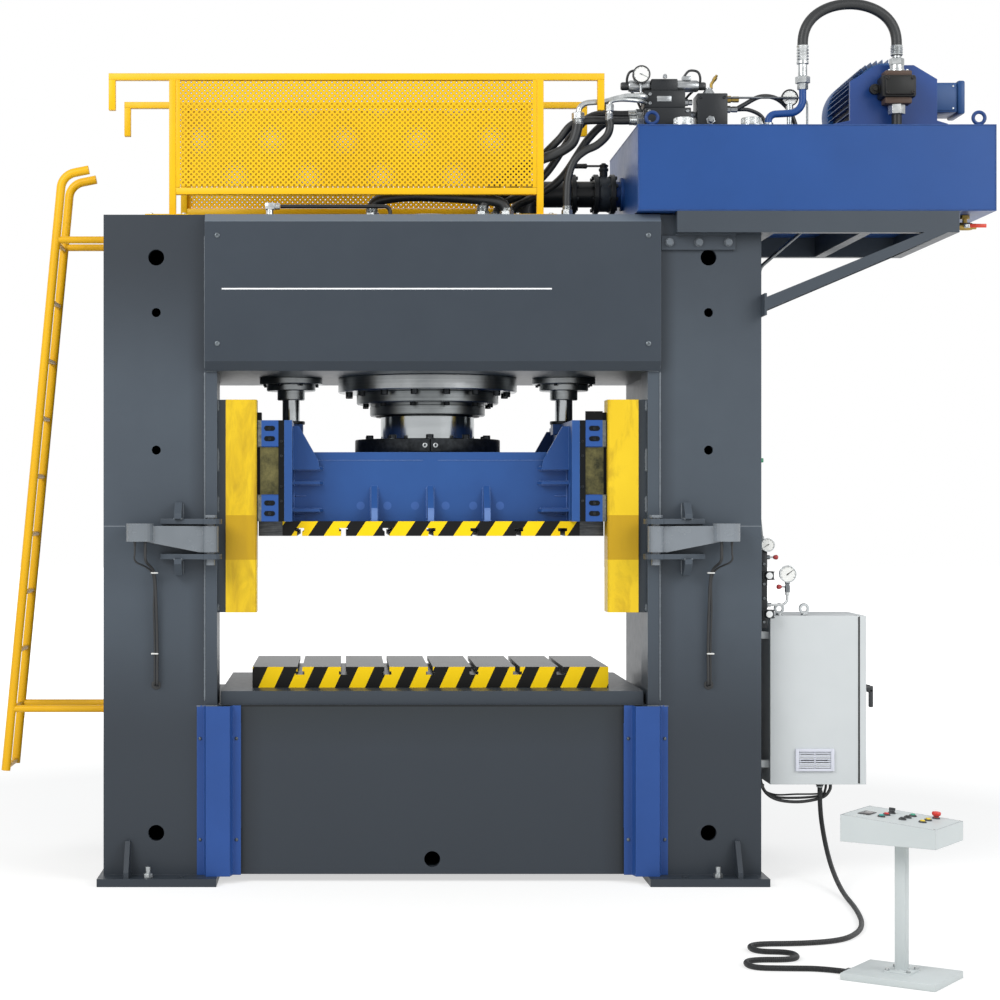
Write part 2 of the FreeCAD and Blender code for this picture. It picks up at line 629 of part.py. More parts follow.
def slide():
    """Welded slide box, open below, with gussets, ribs and stiffeners, between two tall end plates."""
    y0 = -SLIDE_DEPTH / 2
    body = box(-SLIDE_HALF, SLIDE_HALF, y0, -y0, SLIDE_BOTTOM, SLIDE_TOP)
    body = body.cut(box(-SLIDE_HALF + SLIDE_WALL, SLIDE_HALF - SLIDE_WALL, y0 + SLIDE_WALL,
                        -y0 - SLIDE_WALL, SLIDE_BOTTOM, SLIDE_TOP - SLIDE_TOP_PLATE))
    pieces = [body]
    end = box(SLIDE_HALF, END_PLATE_OUT, -END_PLATE_DEPTH / 2, END_PLATE_DEPTH / 2,
              SLIDE_BOTTOM, END_PLATE_TOP)
    seat = box(RETURN_X - 70, RETURN_X + 56, -70, 70, END_PLATE_TOP - 60, END_PLATE_TOP)
    gusset = plate_xz([(SLIDE_HALF, SLIDE_TOP - 84), (SLIDE_HALF, END_PLATE_TOP - 27),
                       (SLIDE_HALF - 35, END_PLATE_TOP - 27), (SLIDE_HALF - 142, SLIDE_TOP - 45),
                       (SLIDE_HALF - 149, SLIDE_TOP - 84)], y0 - RIB_STANDOFF, y0 - RIB_STANDOFF + 30)
    cheek = end.fuse(seat).removeSplitter()
    side = [gusset, mirror_y(gusset)]
    for z in (SLIDE_TOP - 84, SLIDE_TOP - 166, SLIDE_BOTTOM + 69):
        rib = plate_xy([(SLIDE_HALF, y0), (SLIDE_HALF, y0 - RIB_STANDOFF),
                        (SLIDE_HALF - 150, y0 - RIB_STANDOFF), (SLIDE_HALF - 172, y0)],
                       z - RIB_THICK, z)
        side += [rib, mirror_y(rib)]
    pieces += side + [mirror_x(shape) for shape in side]
    for x in (-316, 0, 316):
        stiffener = plate_yz([(y0, SLIDE_BOTTOM), (y0 - STIFFENER_STANDOFF, SLIDE_BOTTOM),
                              (y0 - STIFFENER_STANDOFF, SLIDE_BOTTOM + 60),
                              (y0, SLIDE_BOTTOM + STIFFENER_HEIGHT)],
                             x - STIFFENER_THICK / 2, x + STIFFENER_THICK / 2)
        pieces += [stiffener, mirror_y(stiffener)]
    return Part.makeCompound([fuse(pieces), cheek, mirror_x(cheek)])


def platen():
    """Upper platen with T-slots opening downwards, and the filler plates at its two ends."""
    middle = box(-PLATEN_HALF, PLATEN_HALF, -PLATEN_DEPTH / 2, PLATEN_DEPTH / 2,
                 PLATEN_BOTTOM, SLIDE_BOTTOM)
    wing = box(PLATEN_HALF, PLATEN_WING_HALF, -PLATEN_DEPTH / 2, PLATEN_DEPTH / 2,
               PLATEN_BOTTOM, SLIDE_BOTTOM)
    slotted = middle.cut(t_slots(PLATEN_BOTTOM, -1, PLATEN_DEPTH / 2))
    return Part.makeCompound([slotted, wing, mirror_x(wing)])


def gib_corner(block_out, face, core_y0, core_y1):
    """One corner of the slide: bar, upper and lower block, the core between them and the liner."""
    y0 = -END_PLATE_DEPTH / 2
    y1 = y0 + GIB_BAR_DEPTH
    liner_y0 = y0 + LINER_INSET_FRONT
    liner_y1 = y1 - LINER_INSET_BACK
    low_z = SLIDE_BOTTOM + GIB_BLOCK_HEIGHT
    high_z = END_PLATE_TOP - GIB_BLOCK_HEIGHT
    bar = box(END_PLATE_OUT, GIB_BAR_OUT, y0, y1, SLIDE_BOTTOM, END_PLATE_TOP)
    low = box(GIB_BAR_OUT, block_out, y0, y1, SLIDE_BOTTOM, low_z)
    high = box(GIB_BAR_OUT, block_out, y0, y1, high_z, END_PLATE_TOP)
    core = box(GIB_BAR_OUT, block_out, core_y0, core_y1, low_z, high_z)
    liner = box(block_out, face, liner_y0, liner_y1, SLIDE_BOTTOM, END_PLATE_TOP)
    return [bar, low, high, core, liner]


def gibs():
    """The slide's guide blocks: short ones that run on the front rails, long ones at the rear."""
    y0 = -END_PLATE_DEPTH / 2
    y1 = y0 + GIB_BAR_DEPTH
    front = gib_corner(GIB_BLOCK_OUT, GIB_FACE, y0 + LINER_INSET_FRONT, y1 - LINER_INSET_BACK)
    wiper = box(GIB_FACE - WIPER_WIDTH, GIB_FACE - SKIN_GAP, y0 + LINER_INSET_FRONT, y1 - LINER_INSET_BACK,
                END_PLATE_TOP, END_PLATE_TOP + WIPER_HEIGHT)
    middle = (y0 + y1) / 2
    rear = gib_corner(REAR_BLOCK_OUT, REAR_GIB_FACE, middle - GIB_WEB / 2, middle + GIB_WEB / 2)
    front_corner = fuse(front + [wiper])
    rear_corner = mirror_y(fuse(rear))
    bracket = box(GIB_BAR_OUT, GIB_FACE - WIPER_WIDTH, y0 + 4, y0 + 4 + SENSOR_BRACKET_THICK, END_PLATE_TOP,
                  END_PLATE_TOP + SENSOR_BRACKET_HEIGHT)
    right = fuse(front + [wiper, bracket])
    return Part.makeCompound([right, rear_corner, mirror_x(front_corner), mirror_x(rear_corner)])


def frame_bolts():
    """Heads of the cylinder flanges, the crown cover, the tank plate and the four jack screws."""
    bolts = []
    gland_face = CROWN_BOTTOM - MAIN_FLANGE_THICK
    for x, y in ring_of(16, 465, 11.25):
        bolts.append(hexagon(x, y, gland_face - 30, 38, 30))
    for x, y in ring_of(10, 200, 18):
        bolts.append(hexagon(x, y, COLUMN_TOP + 45, 36, 22))
    ring_face = CROWN_BOTTOM - RETURN_STEP
    for side in (-1, 1):
        for x, y in ring_of(8, 163, 22.5):
            bolts.append(hexagon(side * RETURN_X + x, y, ring_face - 12, 16, 12))
        for x, z in ((COLUMN_IN - 72, COLUMN_TOP - 121), (COLUMN_IN - 72, CROWN_BOTTOM + 147)):
            bolts.append(faceted((side * x, FRONT - COVER_STANDOFF, z),
                                 (side * x, FRONT - COVER_STANDOFF - 10, z), 28))
        for end in (-1, 1):
            x = side * JACK_SCREW_X
            y = end * JACK_SCREW_Y
            nut = hexagon(x, y, FOOT_THICK, 46, 24)
            bolts.append(nut.fuse(stub(x, y, 0, FOOT_THICK + 60, JACK_SCREW)))
    for step in (49, 210, 372):
        x = COLUMN_IN + step
        bolts.append(faceted((x, FRONT - 20, COLUMN_TOP - 154), (x, FRONT - 40, COLUMN_TOP - 154), 42))
    return Part.makeCompound(bolts)


# ---- Swing arms ------------------------------------------------------------------------------
def swing_arm():
    """Sensor arm: pivot barrel with its pin, tapered plate and a round boss at the end."""
    barrel = stub(ARM_PIVOT_X, ARM_PIVOT_Y, ARM_BOTTOM, ARM_TOP, ARM_BARREL, 20)
    pin = upright(ARM_PIVOT_X, ARM_PIVOT_Y, ARM_BOTTOM - 70, ARM_TOP + 60, ARM_PIN)
    head = stub(ARM_PIVOT_X, ARM_PIVOT_Y, ARM_TOP + 45, ARM_TOP + 60, ARM_PIN + 20)
    end_x = ARM_PIVOT_X + ARM_REACH
    plate = plate_xz([(ARM_PIVOT_X, ARM_BOTTOM), (ARM_PIVOT_X + 60, ARM_BOTTOM), (end_x, ARM_TOP - 79),
                      (end_x, ARM_TOP), (ARM_PIVOT_X, ARM_TOP)],
                     ARM_PIVOT_Y - ARM_PLATE / 2, ARM_PIVOT_Y + ARM_PLATE / 2)
    boss = stub(end_x, ARM_PIVOT_Y, ARM_TOP - 84, ARM_TOP + 14, ARM_BOSS, 24)
    return fuse([barrel, pin, head, plate, boss])


def arm_cables():
    """Two sensor leads that leave the arm's boss, meet at ties and enter the column."""
    top_z = ARM_TOP - 84
    lead_y = ARM_PIVOT_Y - 34
    x = ARM_PIVOT_X + ARM_REACH
    leads = []
    for step in (-32, 24):
        leads.append(tube([(x + step, lead_y, top_z), (x + step, lead_y, top_z - 120),
                           (COLUMN_HOLE_X + 12 + step / 6, ARM_PIVOT_Y + 55, 1700),
                           (COLUMN_HOLE_X + step / 4, FRONT - 30, 1300),
                           (COLUMN_HOLE_X + step / 4, FRONT - 34, CABLE_HOLE_Z),
                           (COLUMN_HOLE_X + step / 4, FRONT + 12, CABLE_HOLE_Z)], 8, 0.0, 6))
    return Part.makeCompound(leads)


# ---- Ladder and railings ---------------------------------------------------------------------
def ladder_x(z):
    """Centre of the leaning stringers at a height."""
    share = (z - LADDER_FOOT_Z) / (LADDER_TOP_Z - LADDER_FOOT_Z)
    return LADDER_FOOT_X + share * (LADDER_TOP_X - LADDER_FOOT_X)


def ladder():
    pieces = []
    hook_x = LADDER_TOP_X + 150
    for y in (LADDER_NEAR_Y, LADDER_FAR_Y):
        pieces.append(tube([(LADDER_FOOT_X, y, LADDER_FOOT_Z), (LADDER_TOP_X, y, LADDER_TOP_Z + 20),
                            (hook_x, y, LADDER_TOP_Z + 50)], LADDER_TUBE, 95))
        for z in LADDER_BRACKETS:
            x = ladder_x(z)
            pieces.append(faceted((x, y, z), (-COLUMN_OUT - 10, y, z), 40, 8))
            pieces.append(box(-COLUMN_OUT - 10, -COLUMN_OUT, y - 45, y + 45, z - 60, z + 60))
    for i in range(RUNG_COUNT):
        z = RUNG_LOWEST + i * RUNG_PITCH
        pieces.append(faceted((ladder_x(z), LADDER_NEAR_Y, z), (ladder_x(z), LADDER_FAR_Y, z), RUNG_TUBE, 8))
    return fuse(pieces)


def railing(y, out):
    """One railing: two posts on foot plates, top and low rail, bent-down ends and a sheet panel."""
    left = RAILING_LEFT_POST
    right = RAILING_RIGHT_POST
    half = RAIL_TUBE / 2
    end_left = left - RAILING_END
    end_right = right + RAILING_END
    top = RAILING_TOP
    drop = top - RAILING_DROP
    pieces = [box(end_left, end_right, y - half, y + half, top - half, top + half),
              box(left - half, right + half, y - half, y + half, RAILING_LOW - half, RAILING_LOW + half),
              box(end_left, end_left + RAIL_TUBE, y - half, y + half, drop, top),
              box(end_right - RAIL_TUBE, end_right, y - half, y + half, drop, top)]
    for x in (left, right):
        pieces.append(box(x - half, x + half, y - half, y + half, COLUMN_TOP + 12, top))
        pieces.append(box(x - 150, x + 90, y - 45, y + 45, COLUMN_TOP, COLUMN_TOP + 12))
    sheet_y = y + out * half
    sheet = sorted([sheet_y, sheet_y - out * SHEET_THICK])
    pieces.append(box(left, right, sheet[0], sheet[1], RAILING_LOW, top))
    return fuse(pieces)


# ---- Tank and its frame ----------------------------------------------------------------------
SUCTION_Z = TANK_BOTTOM + 184
SUCTION_PIPE = 150.0
SUCTION_Y = -150.0
DRAIN_X = TANK_RIGHT - 120
DRAIN_Y = TANK_FRONT + 190
FILLER_X = [TANK_LEFT + 263, TANK_LEFT + 635]
FILLER_Y = TANK_FRONT + 85
FILLER_HOLE = 90.0


def tank():
    """Welded oil tank with its lid, drain hole, suction hole and filler holes."""
    w = TANK_WALL
    body = box(TANK_LEFT, TANK_RIGHT, TANK_FRONT, TANK_BACK, TANK_BOTTOM, TANK_TOP)
    body = body.cut(box(TANK_LEFT + w, TANK_RIGHT - w, TANK_FRONT + w, TANK_BACK - w,
                        TANK_BOTTOM + w, TANK_TOP - w))
    body = body.cut(faceted((TANK_LEFT - 1, SUCTION_Y, SUCTION_Z), (TANK_LEFT + w + 1, SUCTION_Y, SUCTION_Z),
                            SUCTION_PIPE - 20))
    body = body.cut(stub(DRAIN_X, DRAIN_Y, TANK_BOTTOM - 1, TANK_BOTTOM + w + 1, 30, 8))
    for x in FILLER_X:
        body = body.cut(stub(x, FILLER_Y, TANK_TOP - w - 1, TANK_TOP + 1, FILLER_HOLE))
    return body


def tank_frame():
    """Beams under the tank, cross members, struts down to the column and the column plate."""
    low = TANK_BOTTOM - BEAM_HEIGHT
    front = TANK_FRONT
    back = TANK_BACK - BEAM_WIDTH
    pieces = [box(BEAM_LEFT, BEAM_RIGHT, front, front + BEAM_WIDTH, low, TANK_BOTTOM),
              box(COLUMN_OUT, BEAM_RIGHT, back, back + BEAM_WIDTH, low, TANK_BOTTOM)]
    for x in (COLUMN_OUT, (COLUMN_OUT + BEAM_RIGHT) / 2, BEAM_RIGHT - BEAM_WIDTH):
        pieces.append(box(x, x + BEAM_WIDTH, front + BEAM_WIDTH, back, low, TANK_BOTTOM))
    foot = TANK_BOTTOM - 544
    for y in (front, back):
        pieces.append(plate_xz([(COLUMN_OUT, foot), (COLUMN_OUT, foot + 70),
                                (BEAM_RIGHT - 190, low), (BEAM_RIGHT - 60, low)],
                               y, y + STRUT_SIZE))
    pieces.append(box(COLUMN_OUT, COLUMN_OUT + 12, front, FRONT + 90, foot - 25, foot + 95))
    pieces.append(box(COLUMN_OUT, COLUMN_OUT + 12, back - 20, back + BEAM_WIDTH, foot - 25, foot + 95))
    plate_top = low - 10
    pieces.append(box(COLUMN_IN + 5, COLUMN_OUT - 147, FRONT - 20, FRONT, plate_top - 77, plate_top))
    pieces.append(box(BEAM_LEFT, COLUMN_OUT - 147, front + BEAM_WIDTH, FRONT, plate_top, TANK_BOTTOM))
    return fuse(pieces)


def lifting_eye(x, y, z, outer, inner):
    """Eye bolt: a ring standing on its collar."""
    middle = z + outer / 2 + 8
    ring = faceted((x, y - 9, middle), (x, y + 9, middle), outer)
    ring = ring.cut(faceted((x, y - 10, middle), (x, y + 10, middle), inner))
    return fuse([stub(x, y, z, z + 14, outer * 0.6, 8), ring])


def tank_fittings():
    """Two filler caps with their necks and two lifting eyes, on the tank's lid."""
    pieces = []
    for x in FILLER_X:
        neck = stub(x, FILLER_Y, TANK_TOP - 40, TANK_TOP, FILLER_HOLE - 2 * HOLE_CLEARANCE)
        rim = stub(x, FILLER_Y, TANK_TOP, TANK_TOP + 8, 150)
        cap = stub(x, FILLER_Y, TANK_TOP + 8, TANK_TOP + 48, 108)
        pieces.append(fuse([neck, rim, cap]))
    for x, y in ((TANK_LEFT + 90, TANK_FRONT + 90), (TANK_RIGHT - 70, TANK_FRONT + 90)):
        pieces.append(lifting_eye(x, y, TANK_TOP, 84, 44))
    return Part.makeCompound(pieces)


def drain_valve():
    """Ball valve hanging from the tank floor, with its outlet to the front."""
    z = TANK_BOTTOM - 62
    neck = stub(DRAIN_X, DRAIN_Y, z, TANK_BOTTOM, 26, 8)
    nut = hexagon(DRAIN_X, DRAIN_Y, TANK_BOTTOM - 22, 46, 22)
    body = faceted((DRAIN_X - 42, DRAIN_Y, z), (DRAIN_X + 42, DRAIN_Y, z), 44)
    ends = faceted((DRAIN_X - 62, DRAIN_Y, z), (DRAIN_X + 62, DRAIN_Y, z), 32, 6)
    stem = faceted((DRAIN_X, DRAIN_Y, z), (DRAIN_X, DRAIN_Y - 34, z), 14, 8)
    return fuse([neck, nut, body, ends, stem])


def drain_lever():
    z = TANK_BOTTOM - 62
    y = DRAIN_Y - 34
    arm = box(DRAIN_X - 13, DRAIN_X + 110, y - 5, y, z - 11, z + 11)
    return fuse([arm, faceted((DRAIN_X, y, z), (DRAIN_X, y - 10, z), 26)])


# ---- Suction line ----------------------------------------------------------------------------
VALVE_X = TANK_LEFT - 107


def suction_line():
    """Large pipe with a flange, the butterfly valve's body and the flange at the tank."""
    y = SUCTION_Y
    z = SUCTION_Z
    start_x = MAIN_HEAD / 2 + 320
    drop_z = COLUMN_TOP
    pipe = tube([(start_x, y, drop_z), (start_x, y, z), (TANK_LEFT, y, z)], SUCTION_PIPE, 150)
    pieces = [pipe]
    for x, wide, length in ((start_x + 265, 230, 28), (VALVE_X - 62, 230, 28), (VALVE_X - 34, 200, 68),
                            (VALVE_X + 34, 230, 28), (TANK_LEFT - 16, 190, 16)):
        pieces.append(faceted((x, y, z), (x + length, y, z), wide, 16))
    pieces.append(stub(VALVE_X, y, z, z + 150, 46, 8))
    pieces.append(stub(start_x, y, drop_z, drop_z + 22, 230, 16))
    return fuse(pieces)


def butterfly_lever():
    z = SUCTION_Z + 150
    hub = stub(VALVE_X, SUCTION_Y, z, z + 30, 52)
    arm = box(VALVE_X - 190, VALVE_X + 26, SUCTION_Y - 15, SUCTION_Y + 15, z + 8, z + 20)
    grip = faceted((VALVE_X - 190, SUCTION_Y, z + 14), (VALVE_X - 95, SUCTION_Y, z + 14), 30, 8)
    return fuse([hub, arm, grip])


# ---- Pump set --------------------------------------------------------------------------------
VALVE_BLOCK_X = TANK_LEFT + 73
VALVE_Y = TANK_FRONT + 265
RELIEF_X = VALVE_BLOCK_X + 370
PILOT_Y = VALVE_Y + 60


def pump_mount():
    """Upright bell plate with chamfered shoulders, its base rails and the coupling housing."""
    half = PUMP_PLATE_WIDTH / 2
    top = TANK_TOP + PUMP_PLATE_HEIGHT
    y = PUMP_PLATE_Y
    plate = plate_xz([(MOTOR_X - half - 90, TANK_TOP), (MOTOR_X - half - 90, TANK_TOP + 42),
                      (MOTOR_X - half, TANK_TOP + 60), (MOTOR_X - half, top - 90),
                      (MOTOR_X - half + 150, top), (MOTOR_X + half - 130, top),
                      (MOTOR_X + half, top - 78), (MOTOR_X + half, TANK_TOP + 60),
                      (MOTOR_X + half + 60, TANK_TOP + 42), (MOTOR_X + half + 60, TANK_TOP)],
                     y, y + PUMP_PLATE_THICK)
    plate = plate.cut(box(MOTOR_X - 190, MOTOR_X + 140, y - 1, y + PUMP_PLATE_THICK + 1,
                          TANK_TOP, TANK_TOP + 22))
    housing = faceted((MOTOR_X, y + PUMP_PLATE_THICK, MOTOR_Z), (MOTOR_X, y + 160, MOTOR_Z), 300, 24)
    housing = housing.cut(faceted((MOTOR_X, y + 60, MOTOR_Z), (MOTOR_X, y + 161, MOTOR_Z), 260, 24))
    return fuse([plate, housing])


def motor():
    """Electric motor: body with cooling fins, flange, fan cowl, feet and terminal box."""
    y0 = PUMP_PLATE_Y + 160
    y1 = y0 + MOTOR_LENGTH
    r = MOTOR_BODY / 2
    flange = faceted((MOTOR_X, y0, MOTOR_Z), (MOTOR_X, y0 + 26, MOTOR_Z), MOTOR_BODY + 30, 24)
    body = faceted((MOTOR_X, y0 + 26, MOTOR_Z), (MOTOR_X, y1, MOTOR_Z), MOTOR_BODY - 30, 24)
    cowl = faceted((MOTOR_X, y1 - 150, MOTOR_Z), (MOTOR_X, y1, MOTOR_Z), MOTOR_BODY + 10, 24)
    pieces = [flange, body, cowl]
    fin_end = y1 - 170
    for i in range(FIN_COUNT):
        angle = 360.0 * (i + 0.5) / FIN_COUNT
        fin = box(MOTOR_X + r - 25, MOTOR_X + r + 6, y0 + 40, fin_end, MOTOR_Z - 3, MOTOR_Z + 3)
        fin.rotate(V(MOTOR_X, 0, MOTOR_Z), V(0, 1, 0), angle)
        pieces.append(fin)
    for y in (y0 + 90, y1 - 250):
        pieces.append(box(MOTOR_X - 190, MOTOR_X + 190, y, y + 60, TANK_TOP, TANK_TOP + 26))
        pieces.append(box(MOTOR_X - 150, MOTOR_X + 150, y + 20, y + 40, TANK_TOP + 26, MOTOR_Z - 80))
    terminal = box(MOTOR_X + r - 30, MOTOR_X + r + 210, y0 + 120, y0 + 330, MOTOR_Z - 80, MOTOR_Z + 72)
    pieces.append(terminal)
    return fuse(pieces)


def pump():
    """Gear pump on the plate's front with its port flanges, suction pipe and delivery nut."""
    y1 = PUMP_PLATE_Y
    y0 = y1 - 150
    z = MOTOR_Z + 8
    body = box(MOTOR_X - 95, MOTOR_X + 95, y0 + 22, y1, z - 62, z + 62)
    face = box(MOTOR_X - 82, MOTOR_X + 82, y0, y0 + 22, z - 52, z + 52)
    top = box(MOTOR_X - 62, MOTOR_X + 62, y0 + 45, y1 - 20, z + 62, z + 88)
    bottom = box(MOTOR_X - 68, MOTOR_X + 68, y0 + 45, y1 - 20, z - 94, z - 62)
    yp = y0 + 85
    suction = stub(MOTOR_X, yp, TANK_TOP, z - 94, 56)
    nut = hexagon(MOTOR_X, yp, z - 150, 84, 56)
    delivery = stub(MOTOR_X, yp, z + 88, z + 122, 80)
    return fuse([body, face, top, bottom, suction, nut, delivery])


HOSE_LEFT_X = MOTOR_X - 520.0
HOSE_Y = PUMP_PLATE_Y - 65.0
HOSE_END_Z = MOTOR_Z + 130.0


def pump_hose():
    """Delivery hose in a high arch with its crimped ends and the left end's long adaptor."""
    apex = HOSE_END_Z + 340
    ferrule = 110.0
    left = HOSE_LEFT_X
    shoulder = (apex - HOSE_END_Z - ferrule) / 2
    flank = (MOTOR_X - left) / 4
    arch = tube([(left, HOSE_Y, HOSE_END_Z + ferrule), (left, HOSE_Y, apex - shoulder),
                 (left + flank, HOSE_Y, apex), (MOTOR_X - flank, HOSE_Y, apex),
                 (MOTOR_X, HOSE_Y, apex - shoulder), (MOTOR_X, HOSE_Y, HOSE_END_Z + ferrule)],
                HOSE_DIAMETER)
    pieces = [arch]
    for x, low in ((left, HOSE_END_Z - 100), (MOTOR_X, HOSE_END_Z)):
        pieces.append(stub(x, HOSE_Y, low, HOSE_END_Z + ferrule, HOSE_DIAMETER + 10))
        pieces.append(hexagon(x, HOSE_Y, low, 78, 40))
    return fuse(pieces)


def oil_pipes():
    """Steel pipes on the tank top, over the crown and down the column side."""
    left = HOSE_LEFT_X
    deck = TANK_TOP
    pieces = [
        tube([(left, HOSE_Y, HOSE_END_Z - 100), (left, HOSE_Y, HOSE_END_Z - 260),
              (left - 190, HOSE_Y, HOSE_END_Z - 270), (left - 190, HOSE_Y, deck)], 40, 75),
        tube([(RELIEF_X, PILOT_Y, deck + 150), (RELIEF_X, PILOT_Y, deck + 205),
              (left + 60, PILOT_Y, deck + 205), (left + 60, PILOT_Y, deck)], 12, 40, 6)]
    for y in (-560, -500, -440):
        x = COLUMN_OUT + 24
        pieces.append(tube([(x + 260, y, TANK_BOTTOM), (x + 260, y, TANK_BOTTOM - 60),
                            (x, y, TANK_BOTTOM - 284), (x, y, PIPE_END_Z + 120),
                            (x + 10, y, PIPE_END_Z + 20), (x + 10, y, PIPE_END_Z)], 16, 60, 6))
    for z in (TANK_BOTTOM - 534, 2315):
        pieces.append(box(COLUMN_OUT, COLUMN_OUT + 40, -585, -415, z, z + 24))
    return fuse(pieces)


# ---- Valves on the tank ----------------------------------------------------------------------
def valve_block():
    """Manifold with the solenoid valve across it, the relief block and a pressure gauge."""
    deck = TANK_TOP
    y = VALVE_Y
    x = VALVE_BLOCK_X
    manifold = box(x, x + 270, y, y + 170, deck + 40, deck + 160)
    feet = [box(fx, fx + 30, y + 30, y + 140, deck, deck + 40) for fx in (x + 20, x + 220)]
    valve = box(x + 15, x + 210, y + 45, y + 125, deck + 160, deck + 232)
    coils = [faceted((x - 105, y + 85, deck + 200), (x + 15, y + 85, deck + 200), 62),
             faceted((x + 210, y + 85, deck + 200), (x + 340, y + 85, deck + 200), 62)]
    relief = box(RELIEF_X - 80, RELIEF_X + 80, y + 10, y + 160, deck, deck + 150)
    link = faceted((x + 270, y + 90, deck + 90), (RELIEF_X - 80, y + 90, deck + 90), 40, 8)
    gauge_stem = stub(x - 15, y + 30, deck + 160, deck + 250, 14, 6)
    elbow = box(x - 25, x + 25, y + 15, y + 60, deck + 150, deck + 172)
    gauge = faceted((x - 15, y + 8, deck + 290), (x - 15, y + 48, deck + 290), 100, 20)
    return fuse([manifold, valve, relief, link, gauge_stem, elbow, gauge] + feet + coils)


def valve_hoses():
    """Hoses from the valve block down to the crown, with bent steel ends."""
    deck = TANK_TOP
    runs = []
    for i, (reach, z_up) in enumerate(((490, 70), (400, 115), (310, 95))):
        x_end = VALVE_BLOCK_X - reach
        yy = VALVE_Y + 25 + i * 60
        z = deck + z_up
        runs.append(tube([(VALVE_BLOCK_X, yy, z), (x_end + 120, yy, z), (x_end, yy, z - 160),
                          (x_end - 260, yy + 60, COLUMN_TOP + 160), (x_end - 420, yy + 120, COLUMN_TOP + 60),
                          (x_end - 420, yy + 120, COLUMN_TOP)], 44, 190))
    return Part.makeCompound(runs)


def crown_pipes():
    """Hose over the cylinder head and a small pipe with its elbow on the crown's front edge."""
    z = COLUMN_TOP
    big = tube([(-330, -500, z), (-330, -500, z + 60), (-120, -520, z + 130), (250, -560, z + 110),
                (420, -580, z + 50), (420, -580, z)], 60, 120)
    small = tube([(-900, -600, z), (-900, -600, z + 62), (-230, -600, z + 62), (-230, -600, z)], 22, 30, 6)
    elbow = fuse([stub(-900, -600, z, z + 45, 40, 8), box(-925, -840, -620, -580, z + 42, z + 82)])
    return Part.makeCompound([big, fuse([small, elbow])])


# ---- Gauges on the column side ---------------------------------------------------------------
GAUGE_Y = FRONT + 65
GAUGE_DEPTH = 34.0
GAUGE_PLATE_THICK = 12.0
VALVE_STACK = 38.0           # width of the valve stack beside the column
PIPE_END_Z = 1880.0          # the column pipes end on the top of the gauge panel's block
SMALL_GAUGE_Z = [1687.0, 1474.0]
UPPER_KNOB_Z = 1788.0
BIG_GAUGE_X = COLUMN_OUT + 165
BIG_GAUGE_Z = 1695.0
LOWER_KNOB_Z = 1624.0
KNOB_STEM = 10.0
KNOB_HEAD = 27.0
STACK_RIGHT = COLUMN_OUT + GAUGE_PLATE_THICK + VALVE_STACK
KNOB_Y = GAUGE_Y + 40
TANK_GAUGE_X = HOSE_LEFT_X - 35
TANK_GAUGE_Y = TANK_FRONT + 345
TANK_KNOB_RISE = 148.0


def dial(x, z, y, diameter):
    """A round gauge with its face to the front."""
    return faceted((x, y, z), (x, y + GAUGE_DEPTH, z), diameter, 20)


def gauge_panel():
    """Pressure gauges, shut-off valves and switches stacked beside the column."""
    plate = box(COLUMN_OUT, COLUMN_OUT + GAUGE_PLATE_THICK, GAUGE_Y - 20, GAUGE_Y + 260, 1380, 1900)
    block = box(COLUMN_OUT + GAUGE_PLATE_THICK, COLUMN_OUT + 64, GAUGE_Y + 75, GAUGE_Y + 245, 1850,
                PIPE_END_Z)
    stack = box(COLUMN_OUT + GAUGE_PLATE_THICK, STACK_RIGHT, KNOB_Y - 18, KNOB_Y + 18, 1395, 1830)
    pieces = [plate, block, stack, dial(STACK_RIGHT, 1857, GAUGE_Y, 76)]
    for z in SMALL_GAUGE_Z:
        pieces.append(dial(STACK_RIGHT + 6, z, GAUGE_Y - 12, 50))
        pieces.append(box(STACK_RIGHT - 30, STACK_RIGHT + 34, GAUGE_Y + 4, KNOB_Y + 10, z - 24, z + 24))
    pieces.append(faceted((STACK_RIGHT, KNOB_Y, UPPER_KNOB_Z), (STACK_RIGHT + 18, KNOB_Y, UPPER_KNOB_Z), 22))
    pieces.append(dial(BIG_GAUGE_X, BIG_GAUGE_Z, GAUGE_Y + 20, 96))
    pieces.append(stub(BIG_GAUGE_X, KNOB_Y, LOWER_KNOB_Z - 34, BIG_GAUGE_Z - 30, 30, 8))
    pieces.append(tube([(BIG_GAUGE_X, KNOB_Y, LOWER_KNOB_Z - 30), (BIG_GAUGE_X, KNOB_Y, 1524),
                        (STACK_RIGHT - 4, KNOB_Y, 1524)], 14, 40, 6))
    return fuse(pieces)


def knob(x, y, z, way):
    """Red hand knob on its stem, pointing right (way = 1) or left (way = -1)."""
    stem = faceted((x, y, z), (x + way * 20, y, z), KNOB_STEM, 8)
    head = faceted((x + way * 20, y, z), (x + way * 46, y, z), KNOB_HEAD)
    return fuse([stem, head])


def tank_gauge():
    """Gauge with its shut-off valve on the tank, left of the motor."""
    post = stub(TANK_GAUGE_X, TANK_GAUGE_Y, TANK_TOP, TANK_TOP + 175, 30, 8)
    return fuse([post, dial(TANK_GAUGE_X, TANK_TOP + 207, TANK_GAUGE_Y - 12, 96)])


# ---- Electrical cabinet ----------------------------------------------------------------------
GLAND_X = CABINET_LEFT + 286
GLAND_Y = CABINET_FRONT + 50
GLAND_LENGTH = 21.0
CONDUIT = 26.0
HINGE_X = CABINET_RIGHT + DOOR_THICK / 2
HINGE_Y = CABINET_BACK + HINGE_PIN
HANDLE_Y = CABINET_FRONT + 60
HANDLE_Z = 1055.0
DOOR_GAP = 1.0


